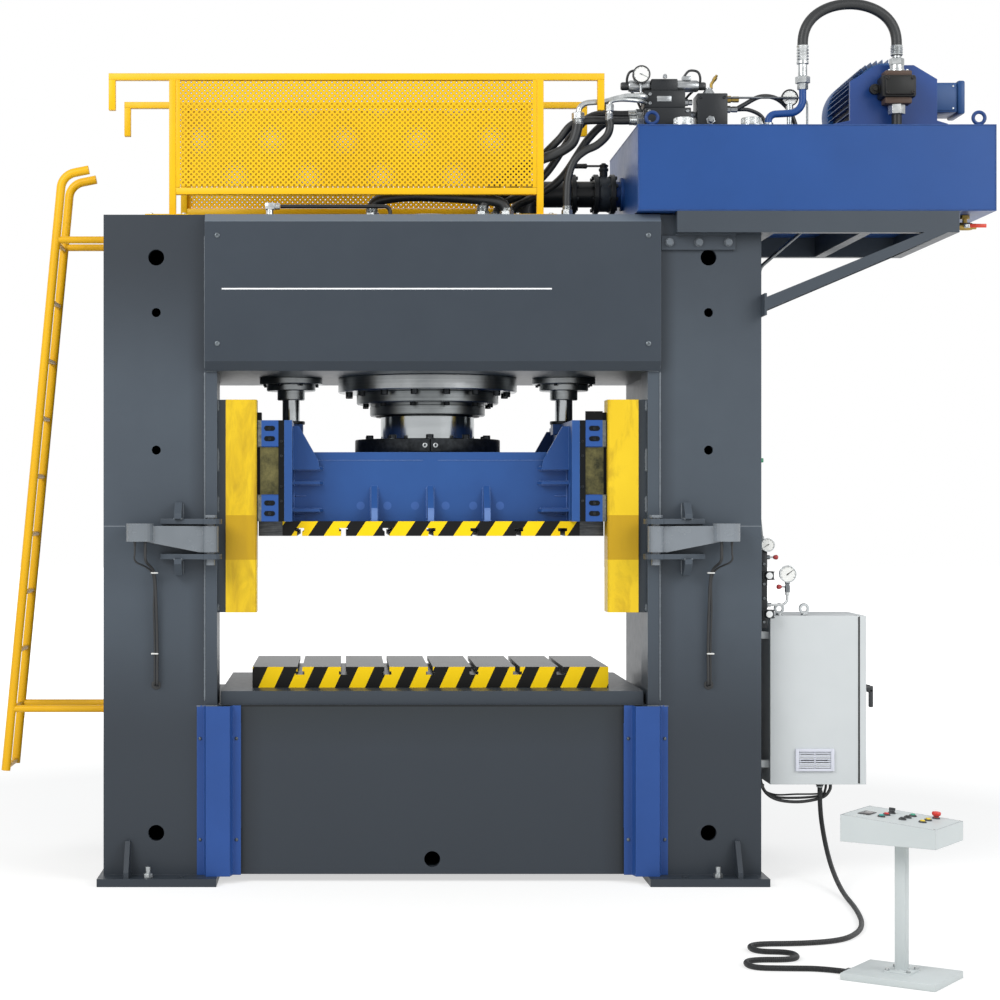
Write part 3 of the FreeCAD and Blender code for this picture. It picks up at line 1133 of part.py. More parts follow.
def cabinet():
    """Sheet-steel cabinet open towards its door, with mounting plate, brackets and eyebolts."""
    t = CABINET_SHEET
    body = box(CABINET_LEFT, CABINET_RIGHT, CABINET_FRONT, CABINET_BACK, CABINET_BOTTOM, CABINET_TOP)
    body = body.cut(box(CABINET_LEFT + t, CABINET_RIGHT + 1, CABINET_FRONT + t, CABINET_BACK - t,
                        CABINET_BOTTOM + t, CABINET_TOP - t))
    vent_x = CABINET_LEFT + 140
    vent_z = CABINET_BOTTOM + 76
    window = box(vent_x + 31, vent_x + 181, CABINET_FRONT - 15, CABINET_FRONT + t + 1, vent_z + 23,
                 vent_z + 100)
    body = body.cut(window)
    pieces = [body]
    pieces.append(box(CABINET_LEFT + t, CABINET_LEFT + t + 4, CABINET_FRONT + 30, CABINET_BACK - 30,
                      CABINET_BOTTOM + 50, CABINET_TOP - 50))
    for back, rise, h in ((95, 729, 90), (95, 599, 90), (275, 709, 160), (95, 299, 200), (285, 339, 140)):
        y = CABINET_FRONT + back
        z = CABINET_BOTTOM + rise
        pieces.append(box(CABINET_LEFT + t + 4, CABINET_LEFT + 110, y, y + 130, z, z + h))
    vent = box(vent_x, vent_x + 213, CABINET_FRONT - 14, CABINET_FRONT, vent_z, vent_z + 122)
    vent = vent.cut(box(vent_x + 16, vent_x + 197, CABINET_FRONT - 15, CABINET_FRONT - 4, vent_z + 14,
                        vent_z + 108))
    pieces.append(vent.cut(window))
    for i in range(6):
        z = vent_z + 19 + i * 15
        pieces.append(box(vent_x + 16, vent_x + 197, CABINET_FRONT - 9, CABINET_FRONT - 5, z, z + 7))
    for z in (CABINET_BOTTOM + 90, CABINET_TOP - 130):
        for y in (CABINET_FRONT + 40, CABINET_BACK - 80):
            pieces.append(box(COLUMN_OUT, CABINET_LEFT, y, y + 40, z, z + 40))
    for x, y in ((CABINET_LEFT + 60, CABINET_FRONT + 60), (CABINET_LEFT + 200, CABINET_FRONT + 60)):
        pieces.append(lifting_eye(x, y, CABINET_TOP, 56, 32))
    pieces.append(stub(GLAND_X, GLAND_Y, CABINET_BOTTOM - GLAND_LENGTH, CABINET_BOTTOM, 36))
    for z in (CABINET_BOTTOM + 140, CABINET_TOP - 190):
        bracket = box(CABINET_RIGHT - 20, HINGE_X, CABINET_BACK, HINGE_Y + 8, z, z + 24)
        knuckle = stub(HINGE_X, HINGE_Y, z, z + 24, HINGE_PIN + 10)
        bore = upright(HINGE_X, HINGE_Y, z - 1, z + 25, HINGE_PIN + 2 * PIVOT_CLEARANCE)
        pieces.append(bracket.fuse(knuckle).cut(bore))
    whole = fuse(pieces)
    edge = box(CABINET_RIGHT, CABINET_RIGHT + 60, CABINET_FRONT, CABINET_BACK, CABINET_BOTTOM,
               CABINET_TOP)
    return whole.cut(edge)


def cabinet_door():
    """Folded door pan with its two hinge pins and the bore of the handle's spindle."""
    t = CABINET_SHEET
    x0 = CABINET_RIGHT + DOOR_GAP
    x1 = x0 + DOOR_THICK
    pan = box(x0, x1, CABINET_FRONT, CABINET_BACK - 2, CABINET_BOTTOM, CABINET_TOP)
    pan = pan.cut(box(x0 - 1, x1 - t, CABINET_FRONT + t, CABINET_BACK - 2 - t, CABINET_BOTTOM + t,
                      CABINET_TOP - t))
    pieces = [pan]
    for z in (CABINET_BOTTOM + 140, CABINET_TOP - 190):
        pieces.append(upright(HINGE_X, HINGE_Y, z - 8, z + 30, HINGE_PIN))
        wing = box(HINGE_X - 6, x1 - 4, CABINET_BACK - 4, HINGE_Y + 4, z + 25, z + 34)
        pieces.append(wing)
    door = fuse(pieces)
    return door.cut(rod((x1 - t - 1, HANDLE_Y, HANDLE_Z), (x1 + 1, HANDLE_Y, HANDLE_Z),
                        20 + 2 * PIVOT_CLEARANCE))


def door_handle():
    """Swing handle: spindle through the door, rosette and a cranked lever hanging down."""
    face = CABINET_RIGHT + DOOR_GAP + DOOR_THICK
    spindle = rod((face - 20, HANDLE_Y, HANDLE_Z), (face, HANDLE_Y, HANDLE_Z), 20)
    rosette = faceted((face, HANDLE_Y, HANDLE_Z), (face + 34, HANDLE_Y, HANDLE_Z), 38)
    lever = box(face + 22, face + 36, HANDLE_Y - 13, HANDLE_Y + 13, HANDLE_Z - 105, HANDLE_Z + 13)
    return fuse([spindle, rosette, lever])


# ---- Push-button console ---------------------------------------------------------------------
CONSOLE_WIDTH = 340.0
CONSOLE_LENGTH = 430.0
CONSOLE_SLOPE = math.degrees(math.atan((CONSOLE_BACK_HEIGHT - CONSOLE_FRONT_HEIGHT) / CONSOLE_LENGTH))
CONSOLE_TOP = CONSOLE_LOW + (CONSOLE_BACK_HEIGHT + CONSOLE_FRONT_HEIGHT) / 2
BUTTON = 22.0
COLLAR = 31.0
COLLAR_HEIGHT = 6.0
BUTTON_GAP = 0.4
# Places on the sloping top, from its middle: right and back.
BUTTONS = {"teal_button": (-60.0, 70.0), "red_button": (0.0, 70.0),
           "first_black_button": (-45.0, -20.0), "second_black_button": (18.0, -20.0),
           "green_button": (80.0, -20.0), "first_yellow_button": (-30.0, -105.0),
           "second_yellow_button": (38.0, -105.0)}
SELECTOR_PLACE = (64.0, 70.0)
ESTOP_PLACE = (118.0, -112.0)
CONSOLE_GLAND_SHIFT = -60.0
CONSOLE_GLAND_Z = 14.0


def to_console(shape):
    """Turn and move a shape from the console's own axes to its place on the floor."""
    placed = shape.copy()
    placed.rotate(V(0, 0, 0), V(0, 0, 1), CONSOLE_TURN)
    placed.translate(V(CONSOLE_X, CONSOLE_Y, 0))
    return placed


def on_slope(shape):
    """Tilt a shape from a flat top at z = 0 to the console's sloping top."""
    placed = shape.copy()
    placed.rotate(V(0, 0, 0), V(1, 0, 0), CONSOLE_SLOPE)
    placed.translate(V(0, 0, CONSOLE_TOP))
    return placed


def console_base():
    """Base plate, square post and head plate of the console, with the conduit's gland."""
    base = box(-CONSOLE_WIDTH / 2 - 5, CONSOLE_WIDTH / 2 + 5, -CONSOLE_LENGTH / 2, CONSOLE_LENGTH / 2,
               0, CONSOLE_BASE_HEIGHT)
    half = CONSOLE_POST / 2
    post = box(-half, half, -half, half, CONSOLE_BASE_HEIGHT, CONSOLE_LOW)
    foot = box(-half - 22, half + 22, -half - 22, half + 22, CONSOLE_BASE_HEIGHT, CONSOLE_BASE_HEIGHT + 8)
    back = CONSOLE_LENGTH / 2
    gland = box(CONSOLE_GLAND_SHIFT - CONSOLE_GLAND_Z, CONSOLE_GLAND_SHIFT + CONSOLE_GLAND_Z, back,
                back + GLAND_LENGTH, 0, 2 * CONSOLE_GLAND_Z)
    return to_console(fuse([base, post, foot, gland]))


def console_box():
    """Sheet box with a sloping top, the collars of its controls and the display frame."""
    half = CONSOLE_LENGTH / 2
    t = 2.0

    def wedge(inset):
        low = CONSOLE_LOW + inset
        front = CONSOLE_LOW + CONSOLE_FRONT_HEIGHT - inset
        back = CONSOLE_LOW + CONSOLE_BACK_HEIGHT - inset
        return plate_yz([(-half + inset, low), (-half + inset, front), (half - inset, back),
                         (half - inset, low)], -CONSOLE_WIDTH / 2 + inset, CONSOLE_WIDTH / 2 - inset)

    shell = wedge(0).cut(wedge(t))
    for x, y in list(BUTTONS.values()) + [SELECTOR_PLACE, ESTOP_PLACE]:
        collar = stub(x, y, -1, COLLAR_HEIGHT, COLLAR)
        shell = shell.fuse(on_slope(collar))
        if (x, y) == SELECTOR_PLACE:
            hole = upright(x, y, -10, COLLAR_HEIGHT + 1, BUTTON + 2 * BUTTON_GAP)
        else:
            hole = stub(x, y, -10, COLLAR_HEIGHT + 1, BUTTON + 2 * BUTTON_GAP)
        shell = shell.cut(on_slope(hole))
    display = box(-76, 14, 122, 172, -0.5, 3)
    return to_console(shell.fuse(on_slope(display)).removeSplitter())


def push_button(x, y):
    body = stub(x, y, -14, COLLAR_HEIGHT + BUTTON_TRAVEL + 1, BUTTON)
    return to_console(on_slope(body))


def estop_button():
    x, y = ESTOP_PLACE
    z = COLLAR_HEIGHT + BUTTON_TRAVEL + 4
    stem = stub(x, y, -14, z, BUTTON)
    head = [stub(x, y, z, z + 4, 34), stub(x, y, z + 4, z + 14, 40), stub(x, y, z + 14, z + 18, 32)]
    return to_console(on_slope(fuse([stem] + head)))


def selector_knob():
    x, y = SELECTOR_PLACE
    stem = upright(x, y, -14, COLLAR_HEIGHT + 10, BUTTON)
    bar = box(x - 5, x + 5, y - 14, y + 14, COLLAR_HEIGHT + SKIN_GAP, COLLAR_HEIGHT + 20)
    return to_console(on_slope(stem.fuse(bar)))


# ---- Conduit from the cabinet to the console -------------------------------------------------
# Route by hand: down from the cabinet's gland, over the floor in two loose folds, to the console.
CONDUIT_POINTS = [
    (2175, -525, 500), (2175, -525, 385), (2178, -600, 250), (2176, -760, 125), (2168, -985, 50),
    (2155, -1230, 18), (2140, -1480, 14), (2110, -1740, 14), (2070, -1975, 14), (2000, -2195, 14),
    (1880, -2385, 14), (1675, -2462, 14), (1413, -2470, 14), (1405, -2646, 14), (1590, -2656, 14),
    (1582, -2830, 14), (1330, -2822, 14), (1322, -2998, 14), (1497, -3012, 14), (1643, -3017, 14)]


def conduit_end():
    """The point where the conduit meets its gland on the console's base."""
    end = to_console(Part.Vertex(CONSOLE_GLAND_SHIFT, CONSOLE_LENGTH / 2 + GLAND_LENGTH,
                                 CONSOLE_GLAND_Z))
    return (end.Point.x, end.Point.y, end.Point.z)


def conduit():
    points = CONDUIT_POINTS + [conduit_end()]
    solid = tube(points, CONDUIT, 0.0, TUBE_SIDES, BEND_STEP / 2)
    length = route(points, 0).Length
    report_bends(points)
    print("conduit length", round(length), "volume ratio",
          round(solid.Volume / (math.pi * CONDUIT ** 2 / 4 * length), 4))
    return solid


def report_bends(points):
    """Print the runs, turns and bend radii of the conduit's route."""
    pts = [V(*p) for p in points]
    radii = []
    for before, corner, after in zip(pts, pts[1:], pts[2:]):
        half = (math.pi - (before - corner).getAngle(after - corner)) / 2
        shorter = min((before - corner).Length, (after - corner).Length)
        radii.append(0.45 * shorter / math.tan(half))
    runs = [(b - a).Length for a, b in zip(pts, pts[1:])]
    print("conduit bend radii", [round(r) for r in radii])
    print("conduit runs", [round(r) for r in runs])


# ---- All pieces ------------------------------------------------------------------------------
both("column", column())
nodes["crown"] = crown()
nodes["crown_cover"] = crown_cover()
nodes["bed"] = bed()
nodes["bolster"] = bolster()
both("corner_guard", corner_guard())
rails = guide_rails()
nodes["guide_rails"] = Part.makeCompound([rails, mirror_x(rails)])
nodes["main_cylinder"] = main_cylinder()
nodes["cylinder_gland"] = cylinder_gland()
nodes["left_return_cylinder"] = return_cylinder(-RETURN_X)
nodes["right_return_cylinder"] = return_cylinder(RETURN_X)
nodes["frame_bolts"] = frame_bolts()

nodes["slide"] = slide()
nodes["platen"] = platen()
nodes["gibs"] = gibs()
nodes["ram"] = ram()
nodes["ram_clamp"] = ram_clamp()
nodes["return_rods"] = return_rods()

both("swing_arm", swing_arm())
both("arm_cables", arm_cables())

nodes["ladder"] = ladder()
nodes["front_railing"] = railing(RAILING_FRONT_Y, -1)
nodes["rear_railing"] = railing(RAILING_REAR_Y, 1)

nodes["tank"] = tank()
nodes["tank_frame"] = tank_frame()
nodes["tank_fittings"] = tank_fittings()
nodes["drain_valve"] = drain_valve()
nodes["drain_lever"] = drain_lever()
nodes["suction_line"] = suction_line()
nodes["butterfly_lever"] = butterfly_lever()

nodes["pump_mount"] = pump_mount()
nodes["motor"] = motor()
nodes["pump"] = pump()
nodes["pump_hose"] = pump_hose()
nodes["oil_pipes"] = Part.makeCompound([oil_pipes(), tank_gauge()])
nodes["valve_block"] = valve_block()
nodes["crown_hoses"] = Part.makeCompound([valve_hoses(), crown_pipes()])

nodes["gauge_panel"] = gauge_panel()
nodes["upper_gauge_knob"] = knob(STACK_RIGHT + 18, KNOB_Y, UPPER_KNOB_Z, 1)
nodes["lower_gauge_knob"] = knob(BIG_GAUGE_X - 15, KNOB_Y, LOWER_KNOB_Z, -1)
nodes["tank_gauge_knob"] = knob(TANK_GAUGE_X + 15, TANK_GAUGE_Y, TANK_TOP + TANK_KNOB_RISE, 1)

nodes["cabinet"] = cabinet()
nodes["cabinet_door"] = cabinet_door()
nodes["door_handle"] = door_handle()

nodes["console_base"] = console_base()
nodes["console_box"] = console_box()
for name, (x, y) in BUTTONS.items():
    nodes[name] = push_button(x, y)
nodes["estop_button"] = estop_button()
nodes["selector_knob"] = selector_knob()
nodes["conduit"] = conduit()

for name, shape in nodes.items():
    shape.exportStep("parts/" + name + ".step")
print(len(nodes), "nodes")
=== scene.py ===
import math

import bmesh
import bpy
from mathutils import Matrix, Vector


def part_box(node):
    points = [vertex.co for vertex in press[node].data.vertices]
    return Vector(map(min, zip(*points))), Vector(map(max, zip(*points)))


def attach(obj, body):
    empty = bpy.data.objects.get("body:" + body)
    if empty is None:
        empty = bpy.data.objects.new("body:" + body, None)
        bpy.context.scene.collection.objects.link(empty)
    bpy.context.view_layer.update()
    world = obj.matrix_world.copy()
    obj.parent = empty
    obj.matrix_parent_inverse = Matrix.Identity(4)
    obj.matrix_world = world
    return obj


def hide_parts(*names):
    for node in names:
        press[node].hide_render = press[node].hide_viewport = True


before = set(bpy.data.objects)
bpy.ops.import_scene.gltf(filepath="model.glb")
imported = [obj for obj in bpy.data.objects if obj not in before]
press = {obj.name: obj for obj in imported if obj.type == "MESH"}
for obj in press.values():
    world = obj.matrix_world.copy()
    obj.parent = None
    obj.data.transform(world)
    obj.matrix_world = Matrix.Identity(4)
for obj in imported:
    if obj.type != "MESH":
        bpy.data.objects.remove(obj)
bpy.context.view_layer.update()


# ---- Studio ----------------------------------------------------------------------------------
# A pale paper floor that runs without a line into a white backdrop, two large soft lamps in front
# and an even sky. The floor keeps the press's shadow and turns to plain white away from it.
def colour(hex_value):
    """An sRGB hex value as a linear colour."""
    channels = [int(hex_value[i:i + 2], 16) / 255 for i in (1, 3, 5)]
    return tuple(c / 12.92 if c <= 0.04045 else ((c + 0.055) / 1.055) ** 2.4
        for c in channels) + (1.0,)


def node(material, kind, inputs=None, **settings):
    """Adds a shader node; kind is its type without ShaderNode in front. An input given as a (node,
    output) pair is linked, anything else is set."""
    made = material.node_tree.nodes.new("ShaderNode" + kind)
    for name, value in settings.items():
        setattr(made, name, value)
    for name, value in (inputs or {}).items():
        if isinstance(value, tuple) and isinstance(value[0], bpy.types.Node):
            material.node_tree.links.new(value[0].outputs[value[1]], made.inputs[name])
        else:
            made.inputs[name].default_value = value
    return made


def new_material(name):
    material = bpy.data.materials.new(name)
    material.use_nodes = True
    material.node_tree.nodes.clear()
    return material


def finish_material(material, shader):
    output = node(material, "OutputMaterial")
    material.node_tree.links.new(shader.outputs[0], output.inputs["Surface"])
    return material


scene = bpy.context.scene
scene.view_settings.view_transform = "Standard"

floor_paper = new_material("floor_paper")
paper = node(floor_paper, "BsdfDiffuse", {"Color": colour("#f4f4f2")})
paper_white = node(floor_paper, "Emission", {"Color": (1.0, 1.0, 1.0, 1.0), "Strength": 1.34})
paper_place = node(floor_paper, "TexCoord")
from_press = node(floor_paper, "VectorMath", {0: (paper_place, "Object")}, operation="LENGTH")
fade = node(floor_paper, "MapRange", {"Value": (from_press, "Value"), "From Min": 4.6,
    "From Max": 9.5, "To Min": 0.45, "To Max": 1.0})
paper_ray = node(floor_paper, "LightPath")
direct_look = node(floor_paper, "Math", {0: (paper_ray, "Is Camera Ray"),
    1: (paper_ray, "Is Glossy Ray")}, operation="MAXIMUM")
paper_share = node(floor_paper, "Math", {0: (fade, "Result"), 1: (direct_look, "Value")},
    operation="MULTIPLY")
paper_mix = node(floor_paper, "MixShader", {0: (paper_share, "Value"), 1: (paper, "BSDF"),
    2: (paper_white, "Emission")})
finish_material(floor_paper, paper_mix)
floor_mesh = bpy.data.meshes.new("floor")
floor_mesh.from_pydata([(-60, -40, 0), (60, -40, 0), (60, 60, 0), (-60, 60, 0)], [], [(0, 1, 2, 3)])
floor_mesh.materials.append(floor_paper)
floor = bpy.data.objects.new("floor", floor_mesh)
scene.collection.objects.link(floor)

sky = bpy.data.worlds.new("studio_sky")
sky.use_nodes = True
sky.node_tree.nodes.clear()
sky_light = node(sky, "Background", {"Color": colour("#f2f4f7"), "Strength": 0.62})
sky_seen = node(sky, "Background", {"Color": (1.0, 1.0, 1.0, 1.0), "Strength": 1.0})
sky_ray = node(sky, "LightPath")
sky_look = node(sky, "Math", {0: (sky_ray, "Is Camera Ray"), 1: (sky_ray, "Is Glossy Ray")},
    operation="MAXIMUM")
sky_mix = node(sky, "MixShader", {0: (sky_look, "Value"), 1: (sky_light, "Background"),
    2: (sky_seen, "Background")})
node(sky, "OutputWorld", {"Surface": (sky_mix, "Shader")})
scene.world = sky

AIM = Vector((0, 0, 2.0))
for name, place, power in (("lamp_left", (-7.0, -9.0, 8.5), 760.0),
        ("lamp_right", (8.0, -8.0, 7.0), 480.0)):
    lamp = bpy.data.lights.new(name, "AREA")
    lamp.size = 6.0
    lamp.energy = power
    holder = bpy.data.objects.new(name, lamp)
    holder.location = place
    holder.rotation_euler = (AIM - Vector(place)).to_track_quat("-Z", "Y").to_euler()
    scene.collection.objects.link(holder)

# The photograph looks straight at the press, with its level line at 2.08 m and its axis left of the
# middle of the picture, which the lens shift gives back.
eye = bpy.data.cameras.new("eye")
eye.lens = 78.5
eye.sensor_width = 36.0
eye.shift_x = 0.155
eye.shift_y = 0.005
eye.clip_end = 200.0
camera = bpy.data.objects.new("eye", eye)
camera.location = (-0.481, -12.725, 2.078)
camera.rotation_euler = (math.radians(90), 0, 0)
scene.collection.objects.link(camera)
scene.camera = camera


# ---- Columns, crown and bed ------------------------------------------------------------------
# Welded boxes of thick plate, sprayed with dark grey enamel. The paint has a faint orange peel,
# clouds a little over its wide faces and is rubbed paler along the cut edges.
def enamel(name, paint, deep, rubbed, roughness):
    """Sprayed enamel; its shader node is called skin."""
    material = new_material(name)
    place = node(material, "TexCoord")
    cloud = node(material, "TexNoise", {"Vector": (place, "Object"), "Scale": 1.3, "Detail": 4.0,
        "Roughness": 0.62})
    tone = node(material, "MapRange", {"Value": (cloud, "Fac"), "From Min": 0.3, "From Max": 0.7})
    coat = node(material, "MixRGB", {"Fac": (tone, "Result"), "Color1": colour(paint),
        "Color2": colour(deep)})
    edge = node(material, "Bevel", {"Radius": 0.004}, samples=4)
    face = node(material, "NewGeometry")
    bend = node(material, "VectorMath", {0: (edge, "Normal"), 1: (face, "Normal")},
        operation="DOT_PRODUCT")
    on_edge = node(material, "MapRange", {"Value": (bend, "Value"), "From Min": 0.985,
        "From Max": 0.80})
    scuff = node(material, "TexNoise", {"Vector": (place, "Object"), "Scale": 22.0, "Detail": 5.0})
    rub = node(material, "Math", {0: (on_edge, "Result"), 1: (scuff, "Fac")}, operation="MULTIPLY")
    worn = node(material, "MixRGB", {"Fac": (rub, "Value"), "Color1": (coat, "Color"),
        "Color2": colour(rubbed)})
    peel = node(material, "TexNoise", {"Vector": (place, "Object"), "Scale": 160.0, "Detail": 2.0})
    relief = node(material, "Bump", {"Strength": 0.12, "Distance": 0.0015, "Height": (peel, "Fac"),
        "Normal": (edge, "Normal")})
    sheen = node(material, "MapRange", {"Value": (scuff, "Fac"), "To Min": roughness - 0.07,
        "To Max": roughness + 0.07})
    skin = node(material, "BsdfPrincipled", {"Base Color": (worn, "Color"),
        "Roughness": (sheen, "Result"), "Specular IOR Level": 0.3, "Normal": (relief, "Normal")},
        name="skin")
    return finish_material(material, skin)


def axes_of(material):
    """The place on the piece in metres, split into X, Y and Z."""
    place = node(material, "TexCoord")
    return node(material, "SeparateXYZ", {"Vector": (place, "Object")})


def within(material, source, low, high):
    """A mask that is 1 where a value lies between two limits."""
    made = node(material, "Math", {0: source, 1: (low + high) / 2, 2: (high - low) / 2},
        operation="COMPARE")
    return made, "Value"


def region(material, *masks, **limits):
    """A mask that is 1 where all the given masks are and between the limits in metres: on x, y, z
    or away, the distance from X 0. facing_y and facing_z limit a part of the face's normal."""
    masks = list(masks)
    place = axes_of(material) if limits else None
    for name, (low, high) in limits.items():
        source = place, name[-1].upper()
        if name == "away":
            source = node(material, "Math", {0: (place, "X")}, operation="ABSOLUTE"), "Value"
        elif name.startswith("facing"):
            face = node(material, "NewGeometry")
            source = node(material, "SeparateXYZ", {"Vector": (face, "Normal")}), name[-1].upper()
        masks.append(within(material, source, low, high))
    joined = masks[0]
    for mask in masks[1:]:
        joined = node(material, "Math", {0: joined, 1: mask}, operation="MULTIPLY"), "Value"
    return joined


def mark(material, hex_value, *masks, **limits):
    """Another colour on the part of a finish that region() gives."""
    skin = material.node_tree.nodes["skin"]
    under = skin.inputs["Base Color"].links[0].from_socket
    where = region(material, *masks, **limits)
    over = node(material, "MixRGB", {"Fac": where, "Color2": colour(hex_value)})
    material.node_tree.links.new(under, over.inputs["Color1"])
    material.node_tree.links.new(over.outputs["Color"], skin.inputs["Base Color"])


def dress(material, *names):
    """Gives modelled nodes their finish; their shape and place stay."""
    for name in names:
        for place in press[name].material_slots:
            place.material = material


def band(bm, low, high, finish=0):
    """Faces between two rings of as many points."""
    faces = []
    for k in range(len(low)):
        j = (k + 1) % len(low)
        faces.append(bm.faces.new((low[k], low[j], high[j], high[k])))
        faces[-1].material_index = finish
    return faces


def bead(bm, start, end, radius, finish=0):
    """A weld bead: a thin rope whose ripples follow the welder's steps of about 9 mm."""
    start, end = Vector(start), Vector(end)
    along = (end - start).normalized()
    side = along.orthogonal().normalized()
    up = along.cross(side)
    steps = max(2, int((end - start).length / 9))
    rings = []
    for i in range(steps + 1):
        centre = start.lerp(end, i / steps)
        wide = radius * (1.0 + 0.22 * math.sin(i * 2.4) + 0.12 * math.sin(i * 0.71 + radius))
        wide *= 0.4 if i in (0, steps) else 1.0
        turns = [k * math.pi / 3 for k in range(6)]
        rings.append([bm.verts.new(centre + side * (wide * math.cos(turn)) + up
            * (wide * math.sin(turn))) for turn in turns])
    for low, high in zip(rings, rings[1:]):
        band(bm, low, high, finish)
    for ring in (rings[0], rings[-1]):
        bm.faces.new(ring).material_index = finish


def fit(name, bm, materials, slot, body, *stands_for, crease=34.0, place=None):
    """Turns a mesh in millimetres into a finished piece on its body, in place of modelled nodes.
    place is a matrix for a mesh drawn on axes of its own."""
    if place:
        bmesh.ops.transform(bm, matrix=place, verts=bm.verts)
    bmesh.ops.recalc_face_normals(bm, faces=bm.faces)
    for face in bm.faces:
        face.smooth = True
    bmesh.ops.scale(bm, vec=(0.001, 0.001, 0.001), verts=bm.verts)
    mesh = bpy.data.meshes.new(name)
    bm.to_mesh(mesh)
    bm.free()
    mesh.set_sharp_from_angle(angle=math.radians(crease))
    for material in materials:
        mesh.materials.append(material)
    made = bpy.data.objects.new(name, mesh)
    scene.collection.objects.link(made)
    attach(made, body)
    if stands_for:
        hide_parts(*stands_for)


frame_enamel = enamel("frame_enamel", "#4a535c", "#434b54", "#717980", 0.40)
frame_axes = axes_of(frame_enamel)
# Painted shade: darker towards the top of the frame, more on the left, and towards its foot.
on_left = node(frame_enamel, "MapRange", {"Value": (frame_axes, "X"), "From Min": 1.0,
    "From Max": -1.0, "To Min": 0.45})
for start, end, hex_value, masks in ((2.60, 3.50, "#2b3138", [(on_left, "Result")]),
        (1.60, 0.75, "#31373e", [])):
    painted_shade = node(frame_enamel, "MapRange", {"Value": (frame_axes, "Z"), "From Min": start,
        "From Max": end, "To Max": 0.9}, interpolation_type="SMOOTHSTEP")
    mark(frame_enamel, hex_value, (painted_shade, "Result"), *masks)
from_middle = node(frame_enamel, "Math", {0: (frame_axes, "X")}, operation="ABSOLUTE")
# Painted shade: a dark band on the column fronts beside each edge bar, fading away from it.
shade_beside_bar = node(frame_enamel, "MapRange", {"Value": (from_middle, "Value"), "From Min": 1.345,
    "From Max": 1.262, "To Max": 0.75})
COLUMN_FRONT = (-0.735, -0.715)
mark(frame_enamel, "#2f353c", (shade_beside_bar, "Result"), away=(1.2565, 1.345), z=(0.97, 3.56),
    y=COLUMN_FRONT)
mark(frame_enamel, "#878e95", z=(1.960, 1.963), away=(1.69, 1.90), y=COLUMN_FRONT)
# Painted shade on the bed front: under the table plate, beside the guards and in the joint line.
on_bed = region(frame_enamel, y=(-0.712, -0.688), away=(-1.0, 1.16))
for source, start, end, deepest, hex_value in (((frame_axes, "Z"), 0.74, 0.95, 0.75, "#2b3033"),
        ((from_middle, "Value"), 0.93, 1.06, 0.65, "#24282c"), ((frame_axes, "Z"), 0.964, 0.968,
        1.0, "#15181a")):
    shade = node(frame_enamel, "MapRange", {"Value": source, "From Min": start, "From Max": end,
        "To Max": deepest})
    mark(frame_enamel, hex_value, on_bed, (shade, "Result"))
dress(frame_enamel, "left_column", "right_column", "crown", "bed", "tank_frame")


weld_enamel = enamel("weld_enamel", "#767d84", "#5b6269", "#b4babf", 0.34)
COLUMN_INSIDE = 1253
welds = bmesh.new()
for side in (-1, 1):
    bead(welds, (side * COLUMN_INSIDE, -726, 1000), (side * COLUMN_INSIDE, -726, 2810), 4.5)
    bead(welds, (side * COLUMN_INSIDE, -726, 2830), (side * COLUMN_INSIDE, -726, 3560), 3.5)
    bead(welds, (side * 1186, -726, 2816), (side * 1250, -726, 2816), 4.0)
    for low, high in ((1492, 1532), (2036, 2126), (2262, 2390), (2598, 2656)):
        bead(welds, (side * 1184, -676, low), (side * 1184, -676, high), 8.0)
    bead(welds, (side * 1181, -724, 972), (side * 1300, -727, 972), 4.0)
fit("frame_welds", welds, [weld_enamel], "grey_paint", "frame")


# ---- Crown cover -----------------------------------------------------------------------------
# Folded sheet over the front of the crown, bevelled along its top and bottom and sprayed like the
# frame. One thin plain white line of film runs along it.
cover_enamel = enamel("cover_enamel", "#373f48", "#323a43", "#767d84", 0.38)
mark(cover_enamel, "#f1f2f4", z=(3.2585, 3.2665), x=(-1.156, 0.652), y=(-0.79, -0.78))
# Painted highlight: faces that slope upwards are painted paler, as if lit from above.
mark(cover_enamel, "#66707b", facing_z=(0.15, 0.97))
dress(cover_enamel, "crown_cover")


# ---- Bolster and platen ----------------------------------------------------------------------
# Thick milled steel plates, oiled and darkened by use, with T-slots. Their front edges are painted
# with slanting warning stripes of yellow and black.
def milled_steel(name, steel, dark, roughness, cutter):
    """Milled steel; cutter is the number of tool lines to a metre along X, Y and Z."""
    material = new_material(name)
    place = node(material, "TexCoord")
    lines = node(material, "Mapping", {"Vector": (place, "Object"), "Scale": cutter})
    grain = node(material, "TexNoise", {"Vector": (lines, "Vector"), "Scale": 1.0, "Detail": 3.0,
        "Roughness": 0.7})
    stain = node(material, "TexNoise", {"Vector": (place, "Object"), "Scale": 4.5, "Detail": 6.0,
        "Roughness": 0.65})
    blend = node(material, "Math", {0: (grain, "Fac"), 1: (stain, "Fac")}, operation="MULTIPLY")
    tone = node(material, "MapRange", {"Value": (blend, "Value"), "From Min": 0.14,
        "From Max": 0.40})
    base = node(material, "MixRGB", {"Fac": (tone, "Result"), "Color1": colour(dark),
        "Color2": colour(steel)})
    edge = node(material, "Bevel", {"Radius": 0.002}, samples=4)
    relief = node(material, "Bump", {"Strength": 0.15, "Distance": 0.0006, "Height": (grain, "Fac"),
        "Normal": (edge, "Normal")})
    sheen = node(material, "MapRange", {"Value": (stain, "Fac"), "To Min": roughness - 0.1,
        "To Max": roughness + 0.12})
    skin = node(material, "BsdfPrincipled", {"Base Color": (base, "Color"), "Metallic": 0.85,
        "Specular IOR Level": 0.2, "Roughness": (sheen, "Result"), "Normal": (relief, "Normal")},
        name="skin")
    return finish_material(material, skin)


